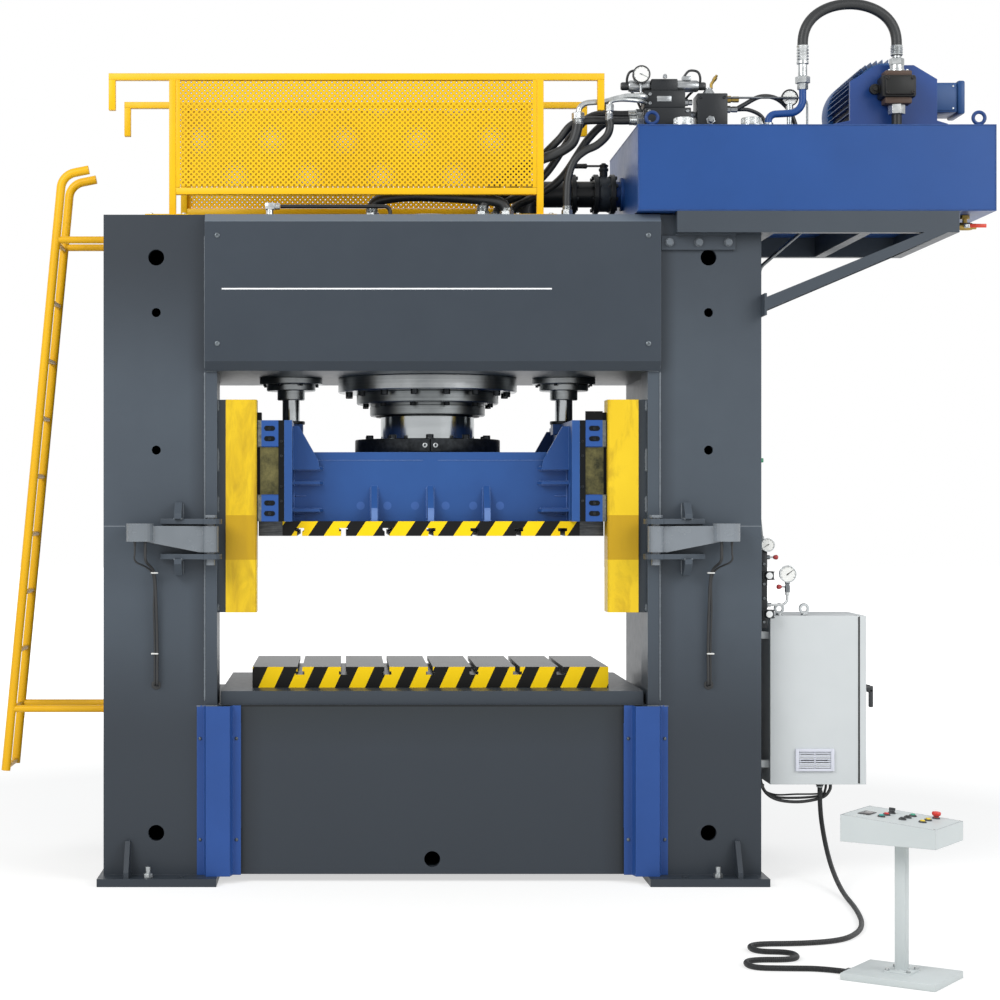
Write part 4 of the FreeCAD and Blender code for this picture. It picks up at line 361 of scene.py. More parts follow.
def warning_stripes(material, half, front, pitch, share, slant, start):
    """Yellow stripes on a black ground over a front edge, in metres; slant is X for each Z."""
    axes = axes_of(material)
    edge = region(material, x=(-half, half), y=(front - 0.004, front + 0.004),
        facing_y=(-1.1, -0.6))
    mark(material, "#0a0a09", edge)
    leaned = node(material, "Math", {0: (axes, "Z"), 1: -slant, 2: (axes, "X")},
        operation="MULTIPLY_ADD")
    turns = node(material, "Math", {0: (leaned, "Value"), 1: 1 / pitch, 2: -start / pitch},
        operation="MULTIPLY_ADD")
    phase = node(material, "Math", {0: (turns, "Value")}, operation="FRACT")
    mark(material, "#ffd60a", edge, within(material, (phase, "Value"), -0.01, share))
    matt = node(material, "MapRange", {"Value": edge, "To Min": 0.85, "To Max": 0.0})
    material.node_tree.links.new(matt.outputs["Result"],
        material.node_tree.nodes["skin"].inputs["Metallic"])


bolster_steel = milled_steel("bolster_steel", "#8b8c8b", "#4b4d4e", 0.38, (7.0, 160.0, 160.0))
warning_stripes(bolster_steel, 1.01, -0.45, 0.170, 0.53, 0.46, -0.969 - 0.46 * 1.05)
dress(bolster_steel, "bolster")

platen_steel = milled_steel("platen_steel", "#6f7172", "#2f3235", 0.42, (7.0, 160.0, 160.0))
warning_stripes(platen_steel, 0.83, -0.54, 0.181, 0.52, 0.68, -0.7815 - 0.68 * 1.905)
dress(platen_steel, "platen")


# ---- Corner guards ---------------------------------------------------------------------------
# Bent sheet over the column feet beside the table, sprayed blue and held by button-head screws.
RIGHT, BACK, UP = (1, 0, 0), (0, 1, 0), (0, 0, 1)
LEFT, FRONT, DOWN = (-1, 0, 0), (0, -1, 0), (0, 0, -1)


def lathe(bm, start, along, profile, sides=48, finish=0, arc=None):
    """A turned shape. profile has (reach along the axis, radius) points, and ends on its first
    point where it is a closed section. arc is the first and last turn in degrees of a part ring."""
    start, axis = Vector(start), Vector(along).normalized()
    side = axis.orthogonal().normalized()
    up = axis.cross(side)
    looped = profile[0] == profile[-1]
    turns = [2 * math.pi * i / sides for i in range(sides)]
    if arc:
        side, up = Vector((1, 0, 0)), Vector((0, 1, 0))
        turns = [math.radians(arc[0] + (arc[1] - arc[0]) * i / sides) for i in range(sides + 1)]
    rings = []
    for reach, radius in profile[:-1] if looped else profile:
        centre = start + axis * reach
        rings.append([bm.verts.new(centre + radius * (side * math.cos(turn) + up * math.sin(turn)))
            for turn in (turns if radius > 0 else turns[:1])])
    faces = []
    for low, high in list(zip(rings, rings[1:])) + ([(rings[-1], rings[0])] if looped else []):
        for i in range(sides):
            j = (i + 1) % len(turns)
            corners = [low[i % len(low)], low[j % len(low)], high[j % len(high)],
                high[i % len(high)]]
            corners = list(dict.fromkeys(corners))
            if len(corners) > 2:
                faces.append(bm.faces.new(corners))
    ends = [] if looped else [ring for ring in (rings[0], rings[-1]) if len(ring) > 1]
    if arc:
        ends = [[ring[0] for ring in rings], [ring[-1] for ring in rings]]
    for face in faces + [bm.faces.new(ring) for ring in ends]:
        face.material_index = finish


guard_enamel = enamel("guard_enamel", "#2b5196", "#264a8a", "#5f7fc0", 0.40)
dress(guard_enamel, "left_corner_guard", "right_corner_guard")

dull_zinc = milled_steel("dull_zinc", "#7d8489", "#4d5358", 0.42, (40.0, 40.0, 40.0))
guard_screws = bmesh.new()
for side in (-1, 1):
    for x, z in ((1278, 237), (1278, 793), (1078, 237), (1078, 793)):
        lathe(guard_screws, (side * x, -729, z), FRONT, [(0, 10), (3, 9), (6, 5), (6, 0)], 20)
fit("guard_screws", guard_screws, [dull_zinc], "zinc", "frame")


# ---- Guide rails -----------------------------------------------------------------------------
# Planed steel rails on backing bars inside the columns. The front ones are painted yellow and their
# faces are smeared with brown grease; beside the swing arms they carry a band of painted shade.
rail_enamel = enamel("rail_enamel", "#efcb24", "#e2bb18", "#b3a057", 0.38)
# Painted shade: a darker band at the swing arms' height for their shadow on the rails.
mark(rail_enamel, "#c49c14", z=(1.776, 2.022))
rail_place = node(rail_enamel, "TexCoord")
down_rail = node(rail_enamel, "Mapping", {"Vector": (rail_place, "Object"),
    "Scale": (9.0, 9.0, 2.4)})
grease = node(rail_enamel, "TexNoise", {"Vector": (down_rail, "Vector"), "Scale": 1.0,
    "Detail": 7.0, "Roughness": 0.62, "Distortion": 0.6})
film_share = node(rail_enamel, "MapRange", {"Value": (grease, "Fac"), "From Min": 0.46,
    "From Max": 0.70, "To Max": 0.9})
mark(rail_enamel, "#b8921a", (film_share, "Result"))
mark(rail_enamel, "#3f464d", away=(1.1408, 1.30))
mark(rail_enamel, "#8d8f8c", y=(0.2, 1.2))
dress(rail_enamel, "guide_rails")


# ---- Main and return cylinders ---------------------------------------------------------------
# Forged and turned steel. The flanges and glands under the crown are bright from the lathe, with
# fine rings that catch the light, and each is held by a ring of cap screws.
def turned_steel(name, steel, dark, roughness, lines, middle=(0.0, 0.0)):
    """Turned steel about an upright axis at middle; lines is the tool rings to a metre."""
    material = new_material(name)
    place = node(material, "TexCoord")
    parts = node(material, "SeparateXYZ", {"Vector": (place, "Object")})
    flat = [node(material, "Math", {0: (parts, axis), 1: at}, operation="SUBTRACT")
        for axis, at in zip("XY", middle)]
    flat = node(material, "CombineXYZ", {"X": (flat[0], "Value"), "Y": (flat[1], "Value")})
    reach = node(material, "VectorMath", {0: (flat, "Vector")}, operation="LENGTH")
    rings = node(material, "CombineXYZ", {"X": (reach, "Value"), "Y": (parts, "Z")})
    cut = node(material, "TexNoise", {"Vector": (rings, "Vector"), "Scale": lines, "Detail": 3.0,
        "Roughness": 0.75})
    stain = node(material, "TexNoise", {"Vector": (place, "Object"), "Scale": 5.0, "Detail": 5.0})
    mixed = node(material, "Math", {0: (cut, "Fac"), 1: (stain, "Fac")}, operation="ADD")
    tone = node(material, "MapRange", {"Value": (mixed, "Value"), "From Min": 0.7, "From Max": 1.3})
    base = node(material, "MixRGB", {"Fac": (tone, "Result"), "Color1": colour(dark),
        "Color2": colour(steel)})
    relief = node(material, "Bump", {"Strength": 0.10, "Distance": 0.0005, "Height": (cut, "Fac")})
    sheen = node(material, "MapRange", {"Value": (stain, "Fac"), "To Min": roughness - 0.06,
        "To Max": roughness + 0.08})
    skin = node(material, "BsdfPrincipled", {"Base Color": (base, "Color"), "Metallic": 1.0,
        "Roughness": (sheen, "Result"), "Normal": (relief, "Normal")}, name="skin")
    return finish_material(material, skin)


flange_steel = turned_steel("flange_steel", "#c3c6c7", "#878b8d", 0.30, 260.0)
gland_steel = turned_steel("gland_steel", "#8f9394", "#5b5f61", 0.34, 260.0)
scraper_black = turned_steel("scraper_black", "#26282a", "#17191a", 0.45, 120.0)

main = bmesh.new()
lathe(main, (0, 0, 2730), UP, [(0, 280), (0, 514), (6, 520), (79, 520), (85, 514), (85, 380),
    (906, 380), (906, 233), (987, 233), (991, 229), (991, 173), (1023, 173), (1026, 170), (1026, 0),
    (830, 0), (830, 280), (0, 280)], 96)
fit("main_cylinder_turned", main, [flange_steel], "machined_steel", "frame", "main_cylinder")


def socket_screw(bm, place, along, radius, height, finish=0):
    """A cap screw's head with its socket, standing on place."""
    lathe(bm, place, along, [(0, radius), (height * 0.9, radius), (height, radius * 0.9),
        (height, radius * 0.5), (height * 0.45, radius * 0.45), (height * 0.45, 0)], 20, finish)


def circle(centre, radius, count, plane="XY", turned=0.5):
    """Points evenly round a circle. turned is how many steps the first is past the first axis."""
    first, second = ("XYZ".index(axis) for axis in plane)
    points = []
    for i in range(count):
        turn = 2 * math.pi * (i + turned) / count
        point = list(centre)
        point[first] += radius * math.cos(turn)
        point[second] += radius * math.sin(turn)
        points.append(tuple(point))
    return points


gland = bmesh.new()
lathe(gland, (0, 0, 2594), UP, [(0, 272.6), (0, 329), (5, 334.5), (52, 334.5), (56, 331), (69, 331),
    (69, 407), (75, 412.5), (130, 412.5), (136, 408), (136, 272.6), (0, 272.6)], 96)
lathe(gland, (0, 0, 2588), UP, [(0, 273), (0, 300), (3, 303), (6, 303), (6, 273), (0, 273)], 96, 1)
for place in circle((0, 0, 2663), 372, 12):
    socket_screw(gland, place, DOWN, 17, 20, 1)
fit("cylinder_gland_turned", gland, [gland_steel, scraper_black], "machined_steel", "frame",
    "cylinder_gland")

RETURN_X = 795.5
for name, x in (("left_return_cylinder", -RETURN_X), ("right_return_cylinder", RETURN_X)):
    finish = turned_steel(name + "_steel", "#b4b8b9", "#7b7f81", 0.32, 260.0, (x / 1000, 0.0))
    turned = bmesh.new()
    lathe(turned, (x, 0, 2688), UP, [(0, 51.3), (0, 76), (4, 80), (53, 80), (53, 138), (57, 142),
        (86, 142), (90, 138), (90, 179), (94, 183.5), (123, 183.5), (127, 179), (127, 120),
        (762, 120), (762, 0), (712, 0), (712, 60), (53, 60), (53, 51.3), (0, 51.3)], 64)
    fit(name + "_turned", turned, [finish], "machined_steel", "frame", name)

black_oxide = milled_steel("black_oxide", "#3a3d40", "#1d1f21", 0.40, (30.0, 30.0, 30.0))
zinc_plate = milled_steel("zinc_plate", "#cdd1d2", "#8f9496", 0.34, (40.0, 40.0, 40.0))
crown_screws = bmesh.new()
for count, reach, height, way, radius, x in ((16, 465, 2730, -1, 21, 0), (10, 200, 3721, 1, 17, 0),
        (8, 163, 2778, -1, 9, -RETURN_X), (8, 163, 2778, -1, 9, RETURN_X)):
    for place in circle((x, 0, height), reach, count):
        socket_screw(crown_screws, place, (0, 0, way), radius, radius * 1.3)
for side in (-1, 1):
    for z in (3555, 2962):
        lathe(crown_screws, (side * 1181, -785, z), FRONT, [(0, 15), (4, 14), (8, 8), (8, 6),
            (3, 5.5), (3, 0)], 24, 2)
    for end in (-1, 1):
        jack = (side * 1557, end * 815)
        lathe(crown_screws, (*jack, 0), UP, [(0, 15), (100, 15), (103, 12), (103, 0)], 20, 1)
        lathe(crown_screws, (*jack, 43), UP, [(0, 23), (2, 26), (22, 26), (24, 23), (24, 0)], 6, 1)
for step in (49, 210, 372):
    lathe(crown_screws, (COLUMN_INSIDE + step, -745, 3522), FRONT, [(0, 24), (3, 24), (3, 0)], 24,
        3)
    lathe(crown_screws, (COLUMN_INSIDE + step, -748, 3522), FRONT, [(0, 18), (2, 21), (15, 21),
        (17, 18), (17, 0)], 6, 3)
fit("frame_screws", crown_screws, [black_oxide, zinc_plate, dull_zinc, weld_enamel], "zinc",
    "frame", "frame_bolts")


# ---- Ram, its clamp and the return rods ------------------------------------------------------
# Ground steel rods with a mirror of hard chrome, faintly banded by oil. A black clamp ring in two
# halves ties the ram's foot to the slide.
hard_chrome = new_material("hard_chrome")
ram_place = node(hard_chrome, "TexCoord")
ram_bands = node(hard_chrome, "Mapping", {"Vector": (ram_place, "Object"),
    "Scale": (1.0, 1.0, 9.0)})
ram_oil = node(hard_chrome, "TexNoise", {"Vector": (ram_bands, "Vector"), "Scale": 1.0,
    "Detail": 4.0})
ram_tone = node(hard_chrome, "MixRGB", {"Fac": (ram_oil, "Fac"), "Color1": colour("#8d9294"),
    "Color2": colour("#c9cdcf")})
ram_sheen = node(hard_chrome, "MapRange", {"Value": (ram_oil, "Fac"), "To Min": 0.06,
    "To Max": 0.24})
ram_skin = node(hard_chrome, "BsdfPrincipled", {"Base Color": (ram_tone, "Color"), "Metallic": 1.0,
    "Roughness": (ram_sheen, "Result")}, name="skin")
finish_material(hard_chrome, ram_skin)
rod = bmesh.new()
lathe(rod, (0, 0, 2376), UP, [(0, 272.5), (1014, 272.5), (1024, 262), (1024, 0)], 96)
fit("ram_rod", rod, [hard_chrome], "chrome_rod", "slide", "ram")

rods = bmesh.new()
for side in (-1, 1):
    lathe(rods, (side * RETURN_X, 0, 2547), UP, [(0, 51), (703, 51), (703, 59), (753, 59),
        (753, 0)], 48)
    lathe(rods, (side * RETURN_X, 0, 2547), UP, [(0, 51), (0, 78), (3, 81), (16, 81), (19, 78),
        (19, 51), (0, 51)], 48, 1)
fit("return_rods_turned", rods, [hard_chrome, black_oxide], "chrome_rod", "slide", "return_rods")

clamp = bmesh.new()
for first in (0.4, 180.4):
    lathe(clamp, (0, 0, 2376), UP, [(0, 273), (0, 420), (3, 422), (76, 422), (80, 418), (80, 276),
        (77, 273), (0, 273)], 48, 0, (first + 90, first + 269.2))
for x, y, z in circle((0, 0, 2456), 355, 10):
    lathe(clamp, (x, y, z), UP, [(0, 30), (2, 30), (2, 0)], 24, 1)
    socket_screw(clamp, (x, y, z + 2), UP, 22, 22)
for end in (-1, 1):
    for side in (-1, 1):
        lathe(clamp, (side * 30, end * 417, 2416), (0, end, 0), [(0, 14), (4, 14), (6, 11), (6, 7),
            (2, 6), (2, 0)], 20, 1)
fit("ram_clamp_ring", clamp, [black_oxide, zinc_plate], "black_steel", "slide", "ram_clamp")


# ---- Slide -----------------------------------------------------------------------------------
# The moving beam: welded plate sprayed blue, with stitched ribs at both ends and thick stiffeners
# over the platen. Its plug welds are ground flat and show through the paint as paler rounds.
slide_enamel = enamel("slide_enamel", "#2b5696", "#244a86", "#7c9ad0", 0.38)
slide_axes = axes_of(slide_enamel)
for x in (-0.393, -0.242, -0.086, 0.086, 0.242, 0.393):
    spot = node(slide_enamel, "CombineXYZ", {"X": (slide_axes, "X"), "Z": (slide_axes, "Z")})
    away = node(slide_enamel, "VectorMath", {0: (spot, "Vector"), 1: (x, 0.0, 2.074)},
        operation="DISTANCE")
    mark(slide_enamel, "#3c62a4", within(slide_enamel, (away, "Value"), 0.0, 0.023))
# Painted highlight: the front faces of the stiffeners are painted paler, as if lit.
mark(slide_enamel, "#6482ba", y=(-0.540, -0.520), z=(1.98, 2.20))
dress(slide_enamel, "slide")

slide_welds = bmesh.new()
for end in (-1, 1):
    front = end * 431
    for side in (-1, 1):
        for z in (2292, 2210, 2056):
            bead(slide_welds, (side * 612, front, z + 2), (side * 770, front, z + 2), 6.0)
            bead(slide_welds, (side * 612, front, z - 18), (side * 770, front, z - 18), 6.0)
            bead(slide_welds, (side * 772, end * 440, z + 2), (side * 772, end * 488, z + 2), 6.0)
        for z in (2350, 2130, 2020):
            bead(slide_welds, (side * 700, front, z), (side * 772, front, z), 5.0)
        bead(slide_welds, (side * 770, front, 1992), (side * 770, front, 2350), 5.0)
        bead(slide_welds, (side * 772, end * 475, 2300), (side * 772, end * 475, 2515), 6.0)
        bead(slide_welds, (side * 690, end * 430, 2330), (side * 40, end * 430, 2330), 3.5)
    for x in (-316, 0, 316):
        for side in (-1, 1):
            bead(slide_welds, (x + side * 19, front, 1995), (x + side * 19, front, 2180), 6.0)
            bead(slide_welds, (x + side * 19, end * 440, 1990), (x + side * 19, end * 526, 1990),
                6.0)
slide_weld_enamel = enamel("slide_weld_enamel", "#4267a8", "#345796", "#9db4da", 0.34)
fit("slide_welds", slide_welds, [slide_weld_enamel], "blue_paint", "slide")


# ---- Gibs ------------------------------------------------------------------------------------
# Steel blocks bolted to the slide's end plates, sprayed blue on their fronts up to a bare machined
# edge, with greasy cast bronze liners between them. Each block has two screws in oval recesses.
gib_metal = milled_steel("gib_metal", "#80827c", "#50534f", 0.40, (60.0, 60.0, 60.0))
lower_block = region(gib_metal, z=(1.90, 2.136))
upper_block = region(gib_metal, z=(2.398, 2.5475))
blocks = node(gib_metal, "Math", {0: lower_block, 1: upper_block}, operation="ADD")
sprayed = region(gib_metal, (blocks, "Value"), away=(0.8495, 0.9430), y=(-0.70, -0.10))
opening = region(gib_metal, z=(2.136, 2.398), y=(-0.70, -0.10))
liner = region(gib_metal, opening, away=(0.849, 0.951))
gib_place = node(gib_metal, "TexCoord")
smear = node(gib_metal, "TexNoise", {"Vector": (gib_place, "Object"), "Scale": 7.0, "Detail": 6.0,
    "Roughness": 0.7})
smear_share = node(gib_metal, "MapRange", {"Value": (smear, "Fac"), "From Min": 0.35,
    "From Max": 0.65})
mark(gib_metal, "#1c1e20", away=(0.80, 0.8495))
mark(gib_metal, "#1b1c1d", z=(2.5475, 2.62))
mark(gib_metal, "#2d5497", sprayed)
mark(gib_metal, "#2f3127", liner)
mark(gib_metal, "#77714a", liner, (smear_share, "Result"))
mark(gib_metal, "#17181a", opening, away=(0.951, 0.969))
mark(gib_metal, "#7d7143", away=(0.969, 1.20), y=(0.4, 0.8))
bare = node(gib_metal, "MapRange", {"Value": sprayed, "To Min": 0.85, "To Max": 0.0})
gib_metal.node_tree.links.new(bare.outputs["Result"],
    gib_metal.node_tree.nodes["skin"].inputs["Metallic"])
dress(gib_metal, "gibs")


def oval_plate(bm, x, front, z, half, radius):
    """A thin oval plate standing on a front face."""
    shift = half - radius
    rings = []
    for y in (front, front - 2.5):
        rings.append([bm.verts.new((u + shift if u > x else u - shift, y, w))
            for u, _, w in circle((x, y, z), radius, 24, "XZ")])
        bm.faces.new(rings[-1])
    band(bm, *rings)


gib_screws = bmesh.new()
for side in (-1, 1):
    for z in (2502, 2445, 2089, 2031):
        oval_plate(gib_screws, side * 898, -670, z, 30, 14)
        lathe(gib_screws, (side * 898, -672.5, z), FRONT, [(0, 9), (3, 8.5), (3, 4.5), (1, 4.2),
            (1, 0)], 20, 1)
    for z in (2100, 2180, 2350, 2430):
        lathe(gib_screws, (side * 833, -670, z), FRONT, [(0, 8), (5, 8), (6, 6), (6, 4), (2, 3.5),
            (2, 0)], 16, 1)
fit("gib_screws", gib_screws, [scraper_black, black_oxide], "black_steel", "slide")


# ---- Swing arms ------------------------------------------------------------------------------
# Sensor arms of thin plate on a hinge barrel, sprayed like the frame. Two rubber leads hang from
# each arm's round head, meet at ties and go into the column.
def sweep(bm, path, radius, sides=16, finish=0):
    """A tube along points close enough together to be smooth, closed at both ends."""
    path = [Vector(point) for point in path]
    along = (path[1] - path[0]).normalized()
    side = along.orthogonal().normalized()
    rings = []
    for i, point in enumerate(path):
        before = (point - path[i - 1]).normalized() if i else along
        after = (path[i + 1] - point).normalized() if i + 1 < len(path) else before
        along = (before + after).normalized()
        side = (side - along * side.dot(along)).normalized()
        up = along.cross(side)
        wide = radius / max(0.5, along.dot(before))
        turns = [2 * math.pi * k / sides for k in range(sides)]
        rings.append([bm.verts.new(point + wide * (side * math.cos(turn) + up * math.sin(turn)))
            for turn in turns])
    for low, high in zip(rings, rings[1:]):
        band(bm, low, high, finish)
    for ring in (rings[0], rings[-1]):
        bm.faces.new(ring).material_index = finish


def flowing(points, steps=8):
    """A soft line through all its points."""
    points = [Vector(point) for point in points]
    ends = [points[0] * 2 - points[1]] + points + [points[-1] * 2 - points[-2]]
    line = []
    for p0, p1, p2, p3 in zip(ends, ends[1:], ends[2:], ends[3:]):
        for i in range(steps):
            t = i / steps
            line.append(0.5 * (p1 * 2 + (p2 - p0) * t + (p0 * 2 - p1 * 5 + p2 * 4 - p3) * t * t
                + (p1 * 3 - p0 - p2 * 3 + p3) * t * t * t))
    return line + [points[-1]]


arm_enamel = enamel("arm_enamel", "#7f868d", "#6c7379", "#b7bcc1", 0.26)
arm_enamel.node_tree.nodes["skin"].inputs["Specular IOR Level"].default_value = 0.6
dress(arm_enamel, "left_swing_arm", "right_swing_arm")

# Stiffeners stand on the two hinge plates of each arm, welded to the column behind it.
stiffeners = bmesh.new()
for side in (-1, 1):
    x_low, x_high = sorted((side * 1372, side * 1412))
    for root, way in ((2003, 1), (1782, -1)):
        outline = [(-726, root), (-850, root), (-850, root + 26 * way), (-790, root + 89 * way),
            (-726, root + 89 * way)]
        rims = [[stiffeners.verts.new((x, y, z)) for y, z in outline] for x in (x_low, x_high)]
        for rim in rims:
            stiffeners.faces.new(rim)
        band(stiffeners, *rims)
        for x in (x_low, x_high):
            bead(stiffeners, (x, -728, root + 4 * way), (x, -728, root + 85 * way), 5.0, 1)
            bead(stiffeners, (x, -735, root), (x, -846, root), 5.0, 1)
fit("hinge_stiffeners", stiffeners, [frame_enamel, weld_enamel], "grey_paint", "frame")


def moulded(name, base, lift, roughness, grain):
    """Moulded plastic or rubber: grain is the number of specks to a metre."""
    material = new_material(name)
    place = node(material, "TexCoord")
    speck = node(material, "TexNoise", {"Vector": (place, "Object"), "Scale": grain, "Detail": 3.0})
    haze = node(material, "TexNoise", {"Vector": (place, "Object"), "Scale": 14.0, "Detail": 4.0})
    base = node(material, "MixRGB", {"Fac": (haze, "Fac"), "Color1": colour(base),
        "Color2": colour(lift)})
    relief = node(material, "Bump", {"Strength": 0.2, "Distance": 0.0005, "Height": (speck, "Fac")})
    sheen = node(material, "MapRange", {"Value": (haze, "Fac"), "To Min": roughness - 0.08,
        "To Max": roughness + 0.08})
    skin = node(material, "BsdfPrincipled", {"Base Color": (base, "Color"),
        "Roughness": (sheen, "Result"), "Normal": (relief, "Normal")}, name="skin")
    return finish_material(material, skin)


def block(bm, low, high, bevel=0.0, finish=0):
    """A box between two corners, its edges chamfered."""
    size = [h - l for l, h in zip(low, high)]
    corners = bmesh.ops.create_cube(bm, size=1.0)["verts"]
    for v in corners:
        v.co = Vector((low[0] + (v.co.x + 0.5) * size[0], low[1] + (v.co.y + 0.5) * size[1],
            low[2] + (v.co.z + 0.5) * size[2]))
        for face in v.link_faces:
            face.material_index = finish
    if bevel:
        edges = list(dict.fromkeys(edge for v in corners for edge in v.link_edges))
        made = bmesh.ops.bevel(bm, geom=edges, offset=bevel, segments=2, affect="EDGES",
            profile=0.5)
        for face in made["faces"]:
            face.material_index = finish


black_rubber = moulded("black_rubber", "#1e1f20", "#303132", 0.52, 700.0)
white_nylon = moulded("white_nylon", "#d8d9d6", "#e6e6e2", 0.45, 500.0)
for name, side in (("left_arm_cables", -1), ("right_arm_cables", 1)):
    leads = bmesh.new()
    for step, radius in ((-32, 8), (24, 5)):
        route = [(1600 + step, -864, 1880), (1600 + step, -864, 1820), (1596 + step, -856, 1770),
            (1532 + step / 6, -775, 1700), (1524 + step / 4, -762, 1500),
            (1520 + step / 4, -756, 1300), (1520 + step / 4, -760, 1150),
            (1520 + step / 4, -757, 1100), (1520 + step / 4, -735, 1088),
            (1520 + step / 4, -713, 1088)]
        sweep(leads, flowing([(side * x, y, z) for x, y, z in route]), radius, 12)
        lathe(leads, (side * (1600 + step), -864, 1879), DOWN, [(0, 8), (22, 7), (26, 5), (26, 0)],
            16)
    x = side * 1525
    for y, z in ((-775, 1706), (-756, 1262)):
        block(leads, (x - 20, y - 14, z - 4), (x + 20, y + 12, z + 4), 3.0, 1)
    lathe(leads, (side * 1520, -725, 1088), FRONT, [(0, 26), (5, 25), (7, 20), (7, 0)], 32)
    fit(name + "_leads", leads, [black_rubber, white_nylon], "conduit_plastic", "frame", name)


# ---- Ladder ----------------------------------------------------------------------------------
# Round steel tube with welded rungs, sprayed yellow and scuffed through to a browner tone where
# feet and hands go. Four stubs hold it to plates on the column.
def bent(points, radius, steps=7):
    """The line of a pipe bent to one radius at each corner."""
    points = [Vector(point) for point in points]
    line = [points[0]]
    for before, corner, after in zip(points, points[1:], points[2:]):
        first, last = (before - corner).normalized(), (after - corner).normalized()
        half = first.angle(last) / 2
        back = min(radius / math.tan(half), (before - corner).length * 0.49, (after - corner).length
            * 0.49)
        middle = corner + (first + last).normalized() * (back / math.cos(half))
        reach = back * math.tan(half)
        a, b = corner + first * back - middle, corner + last * back - middle
        for i in range(steps + 1):
            line.append(middle + a.slerp(b, i / steps).normalized() * reach)
    line.append(points[-1])
    return line


def hex_head(bm, place, along, radius, height, finish=0):
    """A hexagon head, chamfered over its last 2 mm."""
    lathe(bm, place, along, [(0, radius), (height - 2, radius),
        (height, radius - round(radius / 5)), (height, 0)], 6, finish)


ladder_enamel = enamel("ladder_enamel", "#efb80f", "#e2a90c", "#a98a3c", 0.40)
ladder = bmesh.new()


def stile_x(z):
    """X of the leaning stiles at a height."""
    return -2386 + 316 * (z - 588) / 3323


for y in (-475, -105):
    sweep(ladder, bent([(-2386, y, 588), (-2070, y, 3931), (-1920, y, 3961)], 95, 10), 25, 24)
    for z in (934, 3567):
        x = stile_x(z)
        lathe(ladder, (x, y, z), RIGHT, [(0, 20), (-1820 - x, 20)], 20)
        block(ladder, (-1820, y - 45, z - 60), (-1810, y + 45, z + 60), 2.0)
        for up in (-42, 42):
            hex_head(ladder, (-1820, y, z + up), LEFT, 12, 10, 1)
RUNGS, RUNG_PITCH = 10, 327.5
for i in range(RUNGS):
    z = 604 + RUNG_PITCH * i
    x = stile_x(z)
    lathe(ladder, (x, -475, z), BACK, [(0, 15), (370, 15)], 16)
    for y in (-452, -128):
        lathe(ladder, (x, y - 3, z), BACK, [(0, 15), (1, 18), (5, 18), (6, 15)], 16)
fit("ladder_tubes", ladder, [ladder_enamel, zinc_plate], "ladder_paint", "frame", "ladder")


# ---- Railings --------------------------------------------------------------------------------
# Square tube frames on foot plates with a perforated sheet behind each, sprayed orange yellow. The
# rows of holes are drawn 15 mm apart, near the 13 mm of the real sheet.
def perforated(bm, left, right, low, high, front, thick):
    """A sheet with staggered six-sided holes, each ringed by painted shade for its cut edge."""
    wide, tall, rim_radius, hole_radius = 30.0, 15.0, 6.8, 4.2
    across = int((right - left) / wide)
    up = int((high - low) / tall)
    x0, z0 = (left + right - across * wide) / 2, (low + high - up * tall) / 2
    verts = {}

    def at(x, z):
        key = (round(x, 2), round(z, 2))
        if key not in verts:
            verts[key] = bm.verts.new((key[0], front, key[1]))
        return verts[key]

    faces = []
    for row in range(up):
        z = z0 + (row + 0.5) * tall
        shift = wide / 2 if row % 2 else 0.0
        for column in range(across - row % 2):
            x = x0 + shift + (column + 0.5) * wide
            cell = [at(x + u * wide / 2, z + v * tall / 2) for u, v in ((1, 1), (0, 1), (-1, 1),
                (-1, -1), (0, -1), (1, -1))]
            rim, hole = ([at(u, w) for u, _, w in circle((x, front, z), radius, 6, "XZ")]
                for radius in (rim_radius, hole_radius))
            faces += band(bm, cell, rim) + band(bm, rim, hole, 2)
        if row % 2:
            for x in (x0, x0 + (across - 0.5) * wide):
                faces.append(bm.faces.new([at(x + u, z + v) for u, v in ((0, -tall / 2),
                    (wide / 2, -tall / 2), (wide / 2, tall / 2), (0, tall / 2))]))
    made = bmesh.ops.extrude_face_region(bm, geom=faces)
    bmesh.ops.translate(bm, vec=(0, thick, 0), verts=[item for item in made["geom"]
        if isinstance(item, bmesh.types.BMVert)])


CROWN_TOP = 3676
railing_enamel = enamel("railing_enamel", "#f8c408", "#edb706", "#c19a35", 0.42)
# Painted shade: a dark rim round each hole stands in for the shade inside the punched edge.
hole_rim_shade = enamel("hole_rim_shade", "#7d5c0c", "#5f4508", "#a07c1c", 0.55)
for name, y, out in (("front_railing", -625, -1), ("rear_railing", 235, 1)):
    rail = bmesh.new()
    sheet = sorted((y + out * 19, y + out * 16))
    perforated(rail, -1418, 582, 3837, 4433, sheet[0], 3)
    for x in (-1418, 558):
        block(rail, (x, sheet[0] - 1, 3837), (x + 24, sheet[1] + 1, 4433), 1.0)
    for x in (-1791, 919):
        block(rail, (x, y - 19, 4267), (x + 38, y + 19, 4440), 3.0)
    block(rail, (-1791, y - 19, 4433), (957, y + 19, 4471), 3.0)
    block(rail, (-1418, y - 19, 3799), (582, y + 19, 3837), 3.0)
    for x in (-1437, 601):
        block(rail, (x - 19, y - 19, 3688), (x + 19, y + 19, 4436), 3.0)
        block(rail, (x - 150, y - 45, CROWN_TOP), (x + 90, y + 45, 3688), 2.0)
        for shift in (-120, 62):
            hex_head(rail, (x + shift, y, 3688), UP, 13, 11, 1)
    fit(name + "_frame", rail, [railing_enamel, zinc_plate, hole_rim_shade], "yellow_paint", "frame",
        name)


